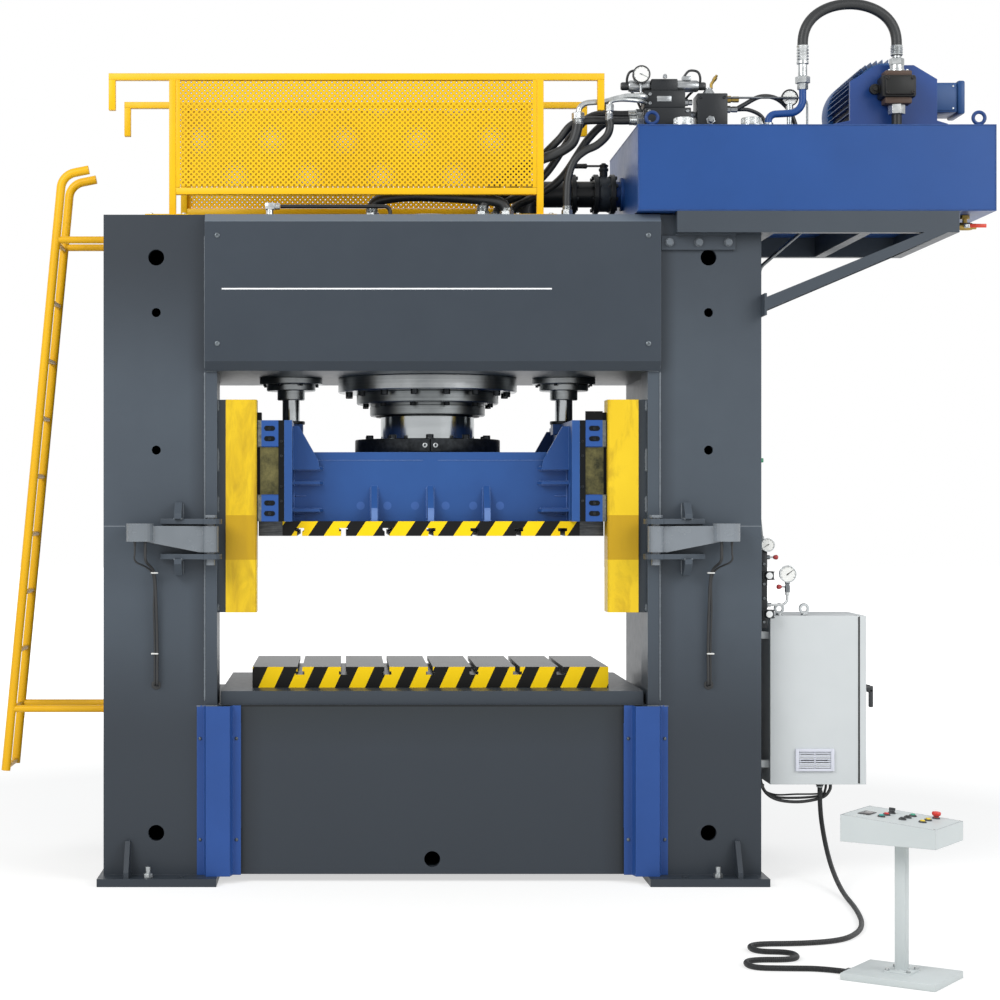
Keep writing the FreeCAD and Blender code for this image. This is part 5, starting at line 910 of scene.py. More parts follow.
# ---- Oil tank --------------------------------------------------------------------------------
# A welded sheet tank, sprayed blue over fine runs of weld along its edges. Its lid carries knurled
# filler caps and eye bolts.
tank_enamel = enamel("tank_enamel", "#1f4a8b", "#1b4481", "#6d8cc4", 0.36)
dress(tank_enamel, "tank")
tank_weld_enamel = enamel("tank_weld_enamel", "#1f437e", "#1b3c74", "#5c7bb5", 0.36)
seams = bmesh.new()
for x in (1122, 3070):
    bead(seams, (x, -825, 3690), (x, -825, 4150), 3.0)
    bead(seams, (x, 432, 3690), (x, 432, 4150), 3.0)
for y in (-825, 432):
    bead(seams, (1122, y, 4151), (3070, y, 4151), 3.0)
    bead(seams, (1122, y, 3689), (3070, y, 3689), 3.0)
for x in (1117, 3075):
    bead(seams, (x, -820, 4151), (x, 427, 4151), 3.0)
fit("tank_seams", seams, [tank_weld_enamel], "blue_paint", "frame")

bright_zinc = milled_steel("bright_zinc", "#d3d6d6", "#9da1a2", 0.22, (25.0, 25.0, 25.0))
fittings = bmesh.new()
for x in (1380, 1752):
    lathe(fittings, (x, -740, 4116), UP, [(0, 44), (40, 44), (40, 72), (42, 75), (46, 75), (48, 73),
        (48, 54), (86, 54), (88, 52), (88, 46), (84, 44), (84, 0)], 48)
    for place in circle((x, -740, 4170), 53.5, 36, turned=0):
        lathe(fittings, place, UP, [(0, 2.2), (30, 2.2)], 6)
    for place in circle((x, -740, 4163), 66, 6, turned=0):
        lathe(fittings, place, UP, [(0, 4.5), (3, 4), (3, 0)], 12)
fit("filler_caps", fittings, [bright_zinc], "zinc", "frame")


def ring_eye(bm, x, y, z, outer, inner):
    """An eye bolt: a round ring on its collar."""
    middle, bar = (outer + inner) / 4, (outer - inner) / 4
    lathe(bm, (x, y, z), UP, [(0, outer * 0.3), (8, outer * 0.3), (12, outer * 0.2), (14, bar)], 24)
    ring = circle((x, y, z + outer / 2 + 8), middle, 32, "XZ", turned=-8)
    sweep(bm, ring + ring[:1], bar, 12)


TANK_TOP = 4156
eyes = bmesh.new()
for x in (1207, 3005):
    ring_eye(eyes, x, -735, TANK_TOP, 84, 44)
fit("tank_eyes", eyes, [tank_weld_enamel], "zinc", "frame", "tank_fittings")


# ---- Drain valve -----------------------------------------------------------------------------
# A brass and zinc ball valve screwed under the tank, with a flat lever in a red plastic sleeve.
brass = milled_steel("brass", "#b59a55", "#8a733b", 0.32, (30.0, 30.0, 30.0))
valve = bmesh.new()
lathe(valve, (2955, -635, 3684), DOWN, [(0, 13), (0, 23), (2, 26), (20, 26), (22, 23), (22, 13),
    (62, 13)], 6)
lathe(valve, (2893, -635, 3622), RIGHT, [(0, 9), (0, 15), (2, 16), (20, 16), (22, 19), (40, 22),
    (84, 22), (102, 19), (104, 16), (122, 16), (124, 15), (124, 9), (100, 9), (100, 0)], 24)
lathe(valve, (2955, -635, 3622), FRONT, [(0, 12), (24, 12), (24, 7), (34, 7)], 16, 1)
fit("drain_valve_body", valve, [brass, zinc_plate], "zinc", "frame", "drain_valve")

red_plastic = moulded("red_plastic", "#d8331b", "#e2452a", 0.40, 500.0)
lever = bmesh.new()
block(lever, (2942, -674, 3611), (2975, -670, 3633), 1.0, 1)
block(lever, (2972, -674.5, 3611.5), (3065, -669.5, 3632.5), 2.2)
lathe(lever, (2955, -669.5, 3622), FRONT, [(0, 13), (7, 13), (10, 10), (10, 0)], 6, 1)
fit("drain_lever_sleeve", lever, [red_plastic, zinc_plate], "red_plastic", "drain_lever",
    "drain_lever")


# ---- Suction line ----------------------------------------------------------------------------
# Black steel pipe from the crown to the tank, welded to bolted flanges, with a wafer valve between
# two of them and a short blue stub at the tank.
black_pipe = enamel("black_pipe", "#24272a", "#1c1f22", "#54585c", 0.36)
SUCTION_Y, SUCTION_Z = -150, 3868
suction = bmesh.new()
sweep(suction, bent([(553, SUCTION_Y, CROWN_TOP), (553, SUCTION_Y, SUCTION_Z),
    (1060, SUCTION_Y, SUCTION_Z)], 150, 12), 75, 40)
sweep(suction, [(1050, SUCTION_Y, SUCTION_Z), (1117, SUCTION_Y, SUCTION_Z)], 74, 40, 1)
for x in (818, 948, 1044):
    lathe(suction, (x, SUCTION_Y, SUCTION_Z), RIGHT, [(0, 76), (0, 112), (3, 115), (25, 115),
        (28, 112), (28, 76), (0, 76)], 48)
    for _, y, z in circle((x, SUCTION_Y, SUCTION_Z), 96, 8, "YZ"):
        lathe(suction, (x - 12, y, z), RIGHT, [(0, 9), (1, 10.5), (12, 10.5)], 6, 2)
        lathe(suction, (x + 28, y, z), RIGHT, [(0, 10.5), (11, 10.5), (12, 9)], 6, 2)
lathe(suction, (978, SUCTION_Y, SUCTION_Z), RIGHT, [(0, 76), (0, 98), (4, 100), (62, 100), (66, 98),
    (66, 76), (0, 76)], 48, 3)
lathe(suction, (1101, SUCTION_Y, SUCTION_Z), RIGHT, [(0, 76), (0, 92), (3, 95), (16, 95), (16, 76),
    (0, 76)], 48, 1)
lathe(suction, (553, SUCTION_Y, CROWN_TOP), UP, [(0, 76), (0, 112), (3, 115), (19, 115), (22, 112),
    (22, 76), (0, 76)], 48)
for place in circle((553, SUCTION_Y, 3698), 97, 8):
    hex_head(suction, place, UP, 11, 14, 2)
lathe(suction, (1010, SUCTION_Y, 3960), UP, [(0, 23), (40, 23), (44, 28), (56, 28), (58, 26),
    (58, 0)], 24, 3)
cast_iron = enamel("cast_iron", "#3a4148", "#2e343a", "#6b7278", 0.50)
fit("suction_pipe", suction, [black_pipe, tank_enamel, black_oxide, cast_iron], "black_steel",
    "frame", "suction_line")

handle = bmesh.new()
lathe(handle, (1010, SUCTION_Y, 4020), UP, [(0, 22), (20, 22), (22, 14), (28, 12), (28, 0)], 32)
block(handle, (838, -163, 4027), (1036, -137, 4037), 2.5)
lathe(handle, (820, SUCTION_Y, 4032), RIGHT, [(0, 11), (3, 15), (60, 14), (90, 15), (95, 11)], 20,
    1)
fit("butterfly_handle", handle, [black_pipe, black_rubber], "black_steel", "butterfly_lever",
    "butterfly_lever")


# ---- Motor, bell plate and pump --------------------------------------------------------------
# A cast iron induction motor with thin cooling fins, sprayed blue, behind an upright bell plate. A
# black cast gear pump hangs on the front of the plate.
motor_enamel = enamel("motor_enamel", "#245088", "#1e4678", "#6489ba", 0.38)
# Painted shade: the body between the fins is painted near black for the shade in the gaps.
fin_gap_shade = enamel("fin_gap_shade", "#0f1a2c", "#0b1322", "#2b3d5c", 0.6)
MOTOR_X, MOTOR_Z = 2570, 4378
motor = bmesh.new()
for profile, finish in (([(0, 60), (0, 186), (4, 190), (22, 190), (26, 186), (26, 60)], 0),
        ([(26, 60), (26, 184), (550, 184), (550, 60)], 3), ([(550, 60), (550, 212), (556, 215),
        (690, 215), (700, 203), (700, 0)], 0)):
    lathe(motor, (MOTOR_X, -440, MOTOR_Z), BACK, profile, 64, finish)
FINS = 40
for i in range(FINS):
    turn = 2 * math.pi * (i + 0.5) / FINS
    if math.cos(turn) > 0.96:
        continue
    spin = Vector((math.cos(turn), 0, math.sin(turn)))
    flat = Vector((-math.sin(turn), 0, math.cos(turn)))
    corners = []
    for y in (-408, 90):
        for reach, half in ((180, 2.8), (216, 1.6)):
            for way in (-1, 1):
                corners.append(motor.verts.new(Vector((MOTOR_X, y, MOTOR_Z)) + spin * reach + flat
                    * (half * way)))
    for face in ((0, 1, 3, 2), (4, 6, 7, 5), (0, 4, 5, 1), (2, 3, 7, 6), (0, 2, 6, 4),
            (1, 5, 7, 3)):
        motor.faces.new([corners[k] for k in face])
for place in circle((MOTOR_X, -440, MOTOR_Z), 168, 8, "XZ"):
    hex_head(motor, place, FRONT, 12, 11, 1)
for i in range(5):
    for place in circle((MOTOR_X, 260, MOTOR_Z), 30 * i, max(1, 8 * i), "XZ", turned=0):
        lathe(motor, place, BACK, [(0, 9), (1.5, 9), (1.5, 0)], 10, 2)
for y in (-350, 10):
    for side in (-1, 1):
        block(motor, (MOTOR_X + side * 140 - 50, y, TANK_TOP),
            (MOTOR_X + side * 140 + 50, y + 60, 4182), 4.0)
        block(motor, (MOTOR_X + side * 120 - 25, y + 20, 4180),
            (MOTOR_X + side * 120 + 25, y + 40, 4300), 3.0)
        hex_head(motor, (MOTOR_X + side * 160, y + 30, 4182), UP, 16, 14, 1)
block(motor, (2715, -320, 4312), (3004, -105, 4482), 8.0)
block(motor, (3002, -332, 4302), (3044, -96, 4492), 10.0)
block(motor, (2725, -326, 4322), (2990, -319, 4472), 3.0)
for x, z in ((2738, 4334), (2977, 4334), (2738, 4460), (2977, 4460)):
    lathe(motor, (x, -326, z), FRONT, [(0, 6), (2.5, 5), (2.5, 0)], 16, 1)
lathe(motor, (2830, -215, 4302), DOWN, [(0, 24), (20, 24), (24, 18), (24, 0)], 24, 2)
fit("motor_casting", motor, [motor_enamel, zinc_plate, black_rubber, fin_gap_shade], "motor_paint",
    "frame", "motor")

bell_enamel = enamel("bell_enamel", "#22478a", "#1d3f7c", "#6d8cc4", 0.38)
bell = bmesh.new()
outline = [(2237, TANK_TOP), (2237, 4198), (2327, 4216), (2327, 4434), (2477, 4524), (2682, 4524),
    (2812, 4446), (2812, 4216), (2872, 4198), (2872, TANK_TOP), (2710, TANK_TOP), (2710, 4178),
    (2380, 4178), (2380, TANK_TOP)]
rings = [[bell.verts.new((x, y, z)) for x, z in outline] for y in (-600, -575)]
for ring in rings:
    bell.faces.new(ring)
band(bell, *rings)
lathe(bell, (MOTOR_X, -575, MOTOR_Z), BACK, [(0, 145), (8, 140), (60, 135), (110, 142), (118, 150),
    (135, 150), (135, 120), (0, 120), (0, 145)], 64)
for x in (2280, 2830):
    block(bell, (x - 30, -575, TANK_TOP), (x + 30, -420, 4176), 3.0)
    hex_head(bell, (x, -500, 4176), UP, 16, 14, 1)
fit("bell_plate", bell, [bell_enamel, zinc_plate], "blue_paint", "frame", "pump_mount", crease=28.0)

pump_cast = enamel("pump_cast", "#191a19", "#111211", "#5d5650", 0.46)
HOSE_Y = -665
pump = bmesh.new()
block(pump, (2475, -728, 4324), (2665, -600, 4448), 14.0)
block(pump, (2488, -750, 4334), (2652, -724, 4438), 10.0)
block(pump, (2496, -712, 4446), (2644, -616, 4474), 6.0, 3)
block(pump, (2496, -712, 4292), (2644, -616, 4326), 6.0, 3)
lathe(pump, (2452, -640, 4380), FRONT, [(0, 30), (24, 28), (26, 12), (40, 12), (40, 0)], 24)
for x, z in ((2500, 4346), (2640, 4346), (2500, 4426), (2640, 4426)):
    socket_screw(pump, (x, -750, z), FRONT, 9, 7)
for y in (-700, -640):
    for x in (2520, 2620):
        socket_screw(pump, (x, y, 4474), UP, 7, 7, 1)
lathe(pump, (MOTOR_X, HOSE_Y, TANK_TOP), UP, [(0, 40), (6, 40), (6, 28), (136, 28)], 32, 2)
lathe(pump, (MOTOR_X, HOSE_Y, 4236), UP, [(0, 38), (3, 46), (53, 46), (56, 40)], 6, 1)
lathe(pump, (MOTOR_X, HOSE_Y, 4470), UP, [(0, 44), (14, 44), (18, 40), (38, 40)], 32, 1)
flange_cast = enamel("flange_cast", "#5f4d44", "#47382f", "#8d7a6c", 0.55)
fit("pump_casting", pump, [pump_cast, bright_zinc, black_pipe, flange_cast], "black_steel", "frame",
    "pump")


# ---- Delivery hose and oil pipes -------------------------------------------------------------
# A steel-braided rubber hose with crimped zinc ends arches over the pump. Rigid pipes of drawn
# steel run over the tank, and three go down the column in clamps.
hose_cover = moulded("hose_cover", "#151718", "#212426", 0.44, 350.0)


def crimped_end(bm, place, along, radius, length, hose):
    """A crimped sleeve with its nut, from the nut's far end towards the hose."""
    lathe(bm, place, along, [(0, radius * 0.8), (0, radius * 1.05), (3, radius * 1.2),
        (36, radius * 1.2), (40, radius * 1.05), (40, radius * 0.72)], 6, 1)
    profile = [(40, radius * 0.72), (length * 0.5, radius * 0.72), (length * 0.52, radius * 0.98)]
    for i in range(5):
        at = length * (0.56 + 0.08 * i)
        profile += [(at, radius), (at + length * 0.05, radius * 0.9)]
    profile += [(length * 0.98, radius), (length, radius * 0.95), (length, hose)]
    lathe(bm, place, along, profile, 32, 1)


hose = bmesh.new()
arch = []
for i in range(41):
    turn = math.pi * i / 40
    arch.append((2310 - 260 * math.cos(turn), HOSE_Y, 4618 + (230 * math.sin(turn) ** 0.82
        if 0 < i < 40 else 0)))
sweep(hose, [(2050, HOSE_Y, 4560)] + arch + [(MOTOR_X, HOSE_Y, 4560)], 29, 32)
crimped_end(hose, (2050, HOSE_Y, 4408), UP, 34, 210, 29)
crimped_end(hose, (MOTOR_X, HOSE_Y, 4508), UP, 34, 110, 29)
fit("pump_hose_arch", hose, [hose_cover, bright_zinc], "hose_rubber", "frame", "pump_hose")

drawn_steel = milled_steel("drawn_steel", "#8b9093", "#5b5f62", 0.30, (20.0, 20.0, 20.0))
pipes = bmesh.new()
sweep(pipes, bent([(2050, HOSE_Y, 4408), (2050, HOSE_Y, 4248), (1860, HOSE_Y, 4238),
    (1860, HOSE_Y, TANK_TOP)], 75, 10), 20, 28, 1)
lathe(pipes, (1860, HOSE_Y, TANK_TOP), UP, [(0, 34), (10, 34), (10, 27), (34, 27), (36, 24),
    (36, 20)], 28, 2)
lathe(pipes, (2050, HOSE_Y, 4408), DOWN, [(0, 30), (30, 30), (34, 27), (34, 20)], 6, 2)
sweep(pipes, bent([(1560, -500, 4306), (1560, -500, 4361), (2110, -500, 4361),
    (2110, -500, TANK_TOP)], 40), 6, 14)
for y in (-560, -500, -440):
    sweep(pipes, bent([(2094, y, 3684), (2094, y, 3624), (1834, y, 3400), (1834, y, 2000),
        (1844, y, 1900), (1844, y, 1880)], 60), 8, 16)
    lathe(pipes, (1844, y, 1880), UP, [(0, 13), (22, 13), (24, 9)], 6, 2)
    lathe(pipes, (2094, y, 3684), DOWN, [(0, 15), (24, 15), (26, 9)], 6, 2)
clamp_green = moulded("clamp_green", "#3f8f6b", "#4a9a76", 0.45, 400.0)
for z in (3150, 2315):
    block(pipes, (1810, -585, z), (1850, -415, z + 24), 4.0, 3)
    for y in (-530, -470):
        socket_screw(pipes, (1850, y, z + 12), RIGHT, 6, 5, 2)


def dial_face(name, centre_x, centre_z, radius):
    """A white enamelled dial with two rings of marks, for a gauge at a place in metres."""
    material = moulded(name, "#e9eae6", "#f2f2ee", 0.30, 300.0)
    axes = axes_of(material)
    x = node(material, "Math", {0: (axes, "X"), 1: centre_x}, operation="SUBTRACT")
    z = node(material, "Math", {0: (axes, "Z"), 1: centre_z}, operation="SUBTRACT")
    turn = node(material, "Math", {0: (x, "Value"), 1: (z, "Value")}, operation="ARCTAN2")
    flat = node(material, "CombineXYZ", {"X": (x, "Value"), "Z": (z, "Value")})
    reach = node(material, "VectorMath", {0: (flat, "Vector")}, operation="LENGTH")
    for marks, half, low, high in ((math.radians(7.5), 0.010, 0.84, 0.93),
            (math.radians(30), 0.028, 0.70, 0.93)):
        near = node(material, "Math", {0: (turn, "Value"), 1: marks / 2}, operation="ADD")
        phase = node(material, "Math", {0: (near, "Value"), 1: marks}, operation="FLOORED_MODULO")
        mark(material, "#1f2022", within(material, (phase, "Value"), marks / 2 - half,
            marks / 2 + half), within(material, (reach, "Value"), low * radius, high * radius),
            within(material, (turn, "Value"), -2.4, 2.4))
    mark(material, "#242526", within(material, (reach, "Value"), 0.0, 0.085 * radius))
    return material


def gauge(bm, x, z, front, radius, depth, rim, face, hand, pointing):
    """A pressure gauge facing the front: its case, white face and black hand."""
    lathe(bm, (x, front + depth, z), FRONT, [(0, radius * 0.9), (3, radius * 0.96),
        (depth - 6, radius * 0.96), (depth - 5, radius), (depth - 1, radius),
        (depth, radius * 0.97), (depth, radius * 0.86), (depth - 4, radius * 0.84)], 48, rim)
    lathe(bm, (x, front + 4, z), FRONT, [(0, radius * 0.85), (0.5, radius * 0.85), (0.5, 0)], 40,
        face)
    spin = Vector((math.sin(pointing), 0, math.cos(pointing)))
    flat = Vector((math.cos(pointing), 0, -math.sin(pointing)))
    centre = Vector((x, front + 2, z))
    corners = [centre + spin * radius * reach + flat * radius * half
        for reach, half in ((-0.2, 0.05), (-0.2, -0.05), (0.72, -0.015), (0.72, 0.015))]
    rings = [[bm.verts.new(corner + Vector((0, y, 0))) for corner in corners] for y in (0, -1.2)]
    for ring in rings:
        bm.faces.new(ring).material_index = hand
    band(bm, *rings, hand)


tank_dial = dial_face("tank_dial", 2.015, 4.363, 0.048)
gauge(pipes, 2015, 4363, -492, 48, 34, 4, 5, 4, -2.2)
lathe(pipes, (2015, -480, TANK_TOP), UP, [(0, 26), (8, 26), (8, 15), (120, 15), (120, 20),
    (170, 20), (175, 12), (182, 12)], 24, 2)
fit("steel_pipes", pipes, [drawn_steel, tank_enamel, zinc_plate, clamp_green, scraper_black,
    tank_dial], "machined_steel", "frame", "oil_pipes")


# ---- Valves on the tank ----------------------------------------------------------------------
# A black manifold block with a solenoid valve across it, two bright coils, and a relief block.
# Black hoses with crimped ends lead down to the crown.
coil_metal = milled_steel("coil_metal", "#b7babb", "#83878a", 0.30, (15.0, 80.0, 80.0))
gauge_face = dial_face("valve_dial", 1.175, 4.484, 0.050)
coil_black = moulded("coil_black", "#1d1e20", "#2e3032", 0.40, 500.0)
valves = bmesh.new()
for x in (1210, 1400):
    block(valves, (x, -530, TANK_TOP), (x + 34, -420, 4196), 2.0)
block(valves, (1196, -560, 4194), (1450, -390, 4296), 4.0)
block(valves, (1190, -548, 4298), (1420, -402, 4394), 4.0)
block(valves, (1262, -549.5, 4332), (1342, -548, 4362), 0.5, 1)
block(valves, (1232, -530, 4396), (1380, -420, 4462), 5.0)
for root, way in ((1232, -1), (1380, 1)):
    lathe(valves, (root, -475, 4430), (way, 0, 0), [(0, 27), (2, 32), (6, 33), (112, 33), (122, 29),
        (122, 0)], 32, 1)
    lathe(valves, (root + 122 * way, -475, 4430), (way, 0, 0), [(0, 21), (4, 23), (34, 23),
        (42, 19), (42, 0)], 24, 2)
    block(valves, (root + 56 * way - 24, -496, 4460), (root + 56 * way + 24, -454, 4484), 3.0, 1)
    wire = [(root + 40 * way, -486, 4480), (root + 70 * way, -500, 4512),
        (root + 120 * way, -505, 4500), (root + 128 * way, -480, 4440),
        (root + 70 * way, -400, 4380), (root + 30 * way, -380, 4300)]
    sweep(valves, flowing(wire), 7, 12, 2)
for place in ((1222, -548, 4372), (1222, -548, 4322), (1216, -560, 4214), (1216, -560, 4276),
        (1430, -560, 4214), (1430, -560, 4276)):
    socket_screw(valves, place, FRONT, 9, 6, 1)
lathe(valves, (1306, -546, 4462), UP, [(0, 12), (14, 12), (18, 9), (22, 9), (22, 0)], 6, 1)
for x, z in ((1420, 4340), (1450, 4270)):
    lathe(valves, (x, -470, z), RIGHT, [(0, 20), (26, 20), (28, 16), (50, 16)], 6, 1)
block(valves, (1486, -552, TANK_TOP), (1656, -400, 4378), 6.0)
for x in (1504, 1638):
    for z in (4178, 4356):
        socket_screw(valves, (x, -552, z), FRONT, 8, 7)
lathe(valves, (1560, -480, 4378), UP, [(0, 36), (12, 34), (34, 20), (40, 20), (40, 0)], 24, 1)
sweep(valves, bent([(1575, -480, 4414), (1575, -480, 4440), (1598, -480, 4474)], 10), 9, 12, 4)
lathe(valves, (1590, -480, 4462), (0.5, 0, 0.86), [(0, 12), (20, 12), (22, 8), (34, 8), (34, 0)], 6,
    4)
for z, length, finish in ((4356, 74, 4), (4300, 66, 1)):
    lathe(valves, (1656, -476, z), RIGHT, [(0, 20), (length * 0.4, 20), (length * 0.45, 15),
        (length * 0.6, 17), (length, 17), (length, 0)], 6, finish)
lathe(valves, (1560, -552, 4226), FRONT, [(0, 26), (6, 26), (8, 18), (30, 18), (33, 14), (33, 0)],
    6, 1)
for line, radius in (([(1716, -476, 4300), (1760, -476, 4326), (1850, -470, 4372),
        (1940, -462, 4366), (2010, -455, 4310), (2050, -450, 4230), (2062, -450, 4158)], 13),
        ([(1716, -470, 4300), (1790, -460, 4300), (1860, -452, 4268), (1888, -450, 4210),
        (1892, -450, 4158)], 11)):
    sweep(valves, flowing(line), radius, 16, 2)
    lathe(valves, line[-1], UP, [(0, radius + 5), (16, radius + 5), (18, radius + 3),
        (54, radius + 3), (56, radius)], 20, 1)
sweep(valves, bent([(1196, -540, 4372), (1172, -540, 4372), (1172, -530, 4440)], 12), 7, 12, 1)
gauge(valves, 1175, 4484, -552, 50, 40, 2, 3, 1, 2.0)
fit("valve_manifold", valves, [black_pipe, coil_metal, coil_black, gauge_face, brass],
    "black_steel", "frame", "valve_block")

crown_lines = bmesh.new()
for i, (reach, rise) in enumerate(((490, 70), (400, 115), (310, 95))):
    x_end, y, z = 1190 - reach, -535 + i * 60, TANK_TOP + rise
    line = flowing([(1140, y, z), (1080, y, z), (x_end + 120, y, z - 8),
        (x_end + 10, y + 4, z - 110), (x_end - 130, y + 34, 3976 - 20 * i),
        (x_end - 262, y + 66, 3838), (x_end - 372, y + 102, 3790), (x_end - 412, y + 118, 3742),
        (x_end - 420, y + 120, 3700)], 10)
    sweep(crown_lines, line, 22, 24)
    crimped_end(crown_lines, (1190, y, z), LEFT, 26, 82, 22)
    crimped_end(crown_lines, (x_end - 420, y + 120, CROWN_TOP), UP, 26, 62, 22)
big = flowing([(-330, -500, 3700), (-330, -500, 3740), (-290, -504, 3786), (-130, -518, 3806),
    (60, -539, 3800), (250, -560, 3786), (380, -576, 3764), (418, -580, 3720), (420, -580, 3690)],
    12)
sweep(crown_lines, big, 30, 28)
crimped_end(crown_lines, (-330, -500, CROWN_TOP), UP, 34, 64, 30)
crimped_end(crown_lines, (420, -580, CROWN_TOP), UP, 34, 54, 30)
sweep(crown_lines, bent([(-840, -600, 3738), (-230, -600, 3738), (-230, -600, CROWN_TOP)], 30), 11,
    18)
lathe(crown_lines, (-900, -600, CROWN_TOP), UP, [(0, 24), (12, 24), (14, 20), (45, 20)], 24, 1)
block(crown_lines, (-925, -620, 3718), (-872, -580, 3758), 5.0, 1)
lathe(crown_lines, (-875, -600, 3738), RIGHT, [(0, 16), (3, 18), (30, 18), (33, 15), (33, 12)], 6,
    1)
sweep(crown_lines, flowing([(1200, -545, 4353), (1180, -580, 4353), (1100, -588, 4353),
    (1032, -588, 4341), (966, -588, 4323), (905, -588, 4320), (856, -588, 4313), (826, -590, 4288),
    (816, -590, 4250)], 8), 16, 20, 1)
crimped_end(crown_lines, (816, -590, 4262), DOWN, 30, 66, 28)
sweep(crown_lines, flowing([(816, -590, 4206), (806, -588, 4150), (784, -585, 4094),
    (738, -580, 4058), (680, -574, 4030), (610, -570, 4004), (520, -565, 3970), (420, -560, 3915),
    (330, -560, 3830), (290, -560, 3740), (286, -560, 3690)], 8), 29, 24)
sweep(crown_lines, flowing([(1200, -545, 4322), (1165, -592, 4324), (1100, -622, 4326),
    (1040, -630, 4326), (1000, -630, 4318), (985, -630, 4296), (984, -630, 4280)], 8), 12, 18, 1)
crimped_end(crown_lines, (984, -630, 4300), DOWN, 22, 90, 21)
sweep(crown_lines, flowing([(984, -630, 4216), (988, -630, 4172), (970, -630, 4124),
    (916, -630, 4074), (850, -630, 4042), (792, -630, 3990), (758, -630, 3900), (750, -630, 3800),
    (750, -630, 3690)], 8), 22, 20)
crimped_end(crown_lines, (750, -630, CROWN_TOP), UP, 26, 60, 22)
crimped_end(crown_lines, (286, -560, CROWN_TOP), UP, 33, 70, 29)
fit("crown_hose_lines", crown_lines, [hose_cover, bright_zinc], "hose_rubber", "frame",
    "crown_hoses")


# ---- Gauges on the column side ---------------------------------------------------------------
# Liquid-filled gauges in bright steel cases and pressure switches with white ovals, stacked on a
# valve strip. Red moulded hand knobs close their shut-off valves.
case_steel = milled_steel("case_steel", "#d9dcdc", "#a9adae", 0.20, (12.0, 12.0, 12.0))
upper_dial = dial_face("upper_dial", 1.860, 1.857, 0.038)
large_dial = dial_face("large_dial", 1.975, 1.695, 0.048)
panel = bmesh.new()
block(panel, (1810, -680, 1380), (1822, -400, 1900), 1.5, 1)
block(panel, (1822, -585, 1850), (1874, -415, 1880), 3.0)
block(panel, (1822, -638, 1395), (1860, -602, 1830), 3.0)
for z in (1430, 1560, 1640, 1750):
    lathe(panel, (1841, -638, z), FRONT, [(0, 9), (7, 9), (9, 7), (9, 4), (4, 3.5), (4, 0)], 6, 4)
gauge(panel, 1860, 1857, -660, 38, 34, 2, 3, 5, -2.1)
lathe(panel, (1860, -626, 1857), BACK, [(0, 12), (14, 12)], 16, 4)
lathe(panel, (1860, -618, 1862), DOWN, [(0, 11), (20, 11), (34, 9)], 16, 4)
for z in (1687, 1474):
    block(panel, (1830, -656, z - 24), (1894, -610, z + 24), 3.0)
    for rise in (-22, 18):
        block(panel, (1826, -662, z + rise), (1898, -606, z + rise + 5), 1.5)
    lathe(panel, (1866, -638, z), FRONT, [(0, 25), (26, 25), (31, 24), (34, 20), (34, 18)], 40)
    lathe(panel, (1866, -671, z), FRONT, [(0, 19), (2, 18), (3, 14), (3, 0)], 32, 6)
    block(panel, (1838, -634, z - 58), (1862, -608, z - 24), 3.0, 4)
    lathe(panel, (1850, -621, z - 58), DOWN, [(0, 9), (16, 9), (22, 6), (22, 0)], 16)
    lathe(panel, (1850, -621, z + 24), UP, [(0, 10), (14, 10), (16, 12), (34, 12), (36, 9),
        (36, 0)], 6, 4)
lathe(panel, (1860, -620, 1788), RIGHT, [(0, 11), (4, 12), (14, 12), (18, 9), (18, 0)], 20, 4)
gauge(panel, 1975, 1695, -640, 48, 34, 2, 7, 5, 0.9)
lathe(panel, (1975, -620, 1662), DOWN, [(0, 10), (8, 10), (8, 15), (20, 15), (22, 12), (30, 12),
    (32, 15), (66, 15), (68, 12), (68, 0)], 8, 4)
sweep(panel, bent([(1975, -620, 1598), (1975, -620, 1524), (1856, -620, 1524)], 40), 7, 16, 2)
lathe(panel, (1975, -620, 1596), DOWN, [(0, 12), (16, 12), (18, 9), (18, 7)], 6, 2)
lathe(panel, (1862, -620, 1524), RIGHT, [(0, 11), (22, 11), (24, 9), (24, 7)], 6, 2)
block(panel, (1838, -636, 1508), (1864, -606, 1546), 2.5, 4)
white_plate = moulded("white_plate", "#e4e6e6", "#f0f1f0", 0.35, 300.0)
fit("gauge_stack", panel, [black_pipe, frame_enamel, case_steel, upper_dial, drawn_steel,
    scraper_black, white_plate, large_dial], "black_steel", "frame", "gauge_panel")

knob_plastic = moulded("knob_plastic", "#93282a", "#b23a3a", 0.34, 300.0)
for name, body, way in (("upper_gauge_knob", "upper_knob", 1),
        ("lower_gauge_knob", "lower_knob", -1), ("tank_gauge_knob", "tank_knob", 1)):
    low, high = (corner * 1000 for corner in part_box(name))
    middle = (low + high) / 2
    turned = bmesh.new()
    stem = (low.x if way > 0 else high.x, middle.y, middle.z)
    lathe(turned, stem, (way, 0, 0), [(0, 5), (21, 4.5), (21, 0)], 20, 1)
    lathe(turned, stem, (way, 0, 0), [(17, 6), (20, 9), (25, 11.6), (31, 13.2), (37, 13.1),
        (42, 11), (45, 7), (46, 0)], 32)
    fit(name + "_grip", turned, [knob_plastic, case_steel], "red_plastic", body, name)


# ---- Electrical cabinet ----------------------------------------------------------------------
# Folded sheet steel with a fine-textured light grey powder coat, a black rubber seal round its side
# door, a moulded louvre at the foot and two bright eye bolts on the roof.
powder_coat = enamel("powder_coat", "#d0d4d5", "#c7cccd", "#e9edec", 0.50)
dress(powder_coat, "cabinet", "cabinet_door")
trim = bmesh.new()
for y in (-575, -113):
    block(trim, (2384, y, 527), (2389, y + 5, 1455), 0.8)
for z in (523, 1455):
    block(trim, (2384, -575, z), (2389, -108, z + 4), 0.8)
block(trim, (2378, -577, 527), (2388, -572, 1455), 0.8)
fit("door_seal", trim, [black_rubber], "black_plastic", "frame")

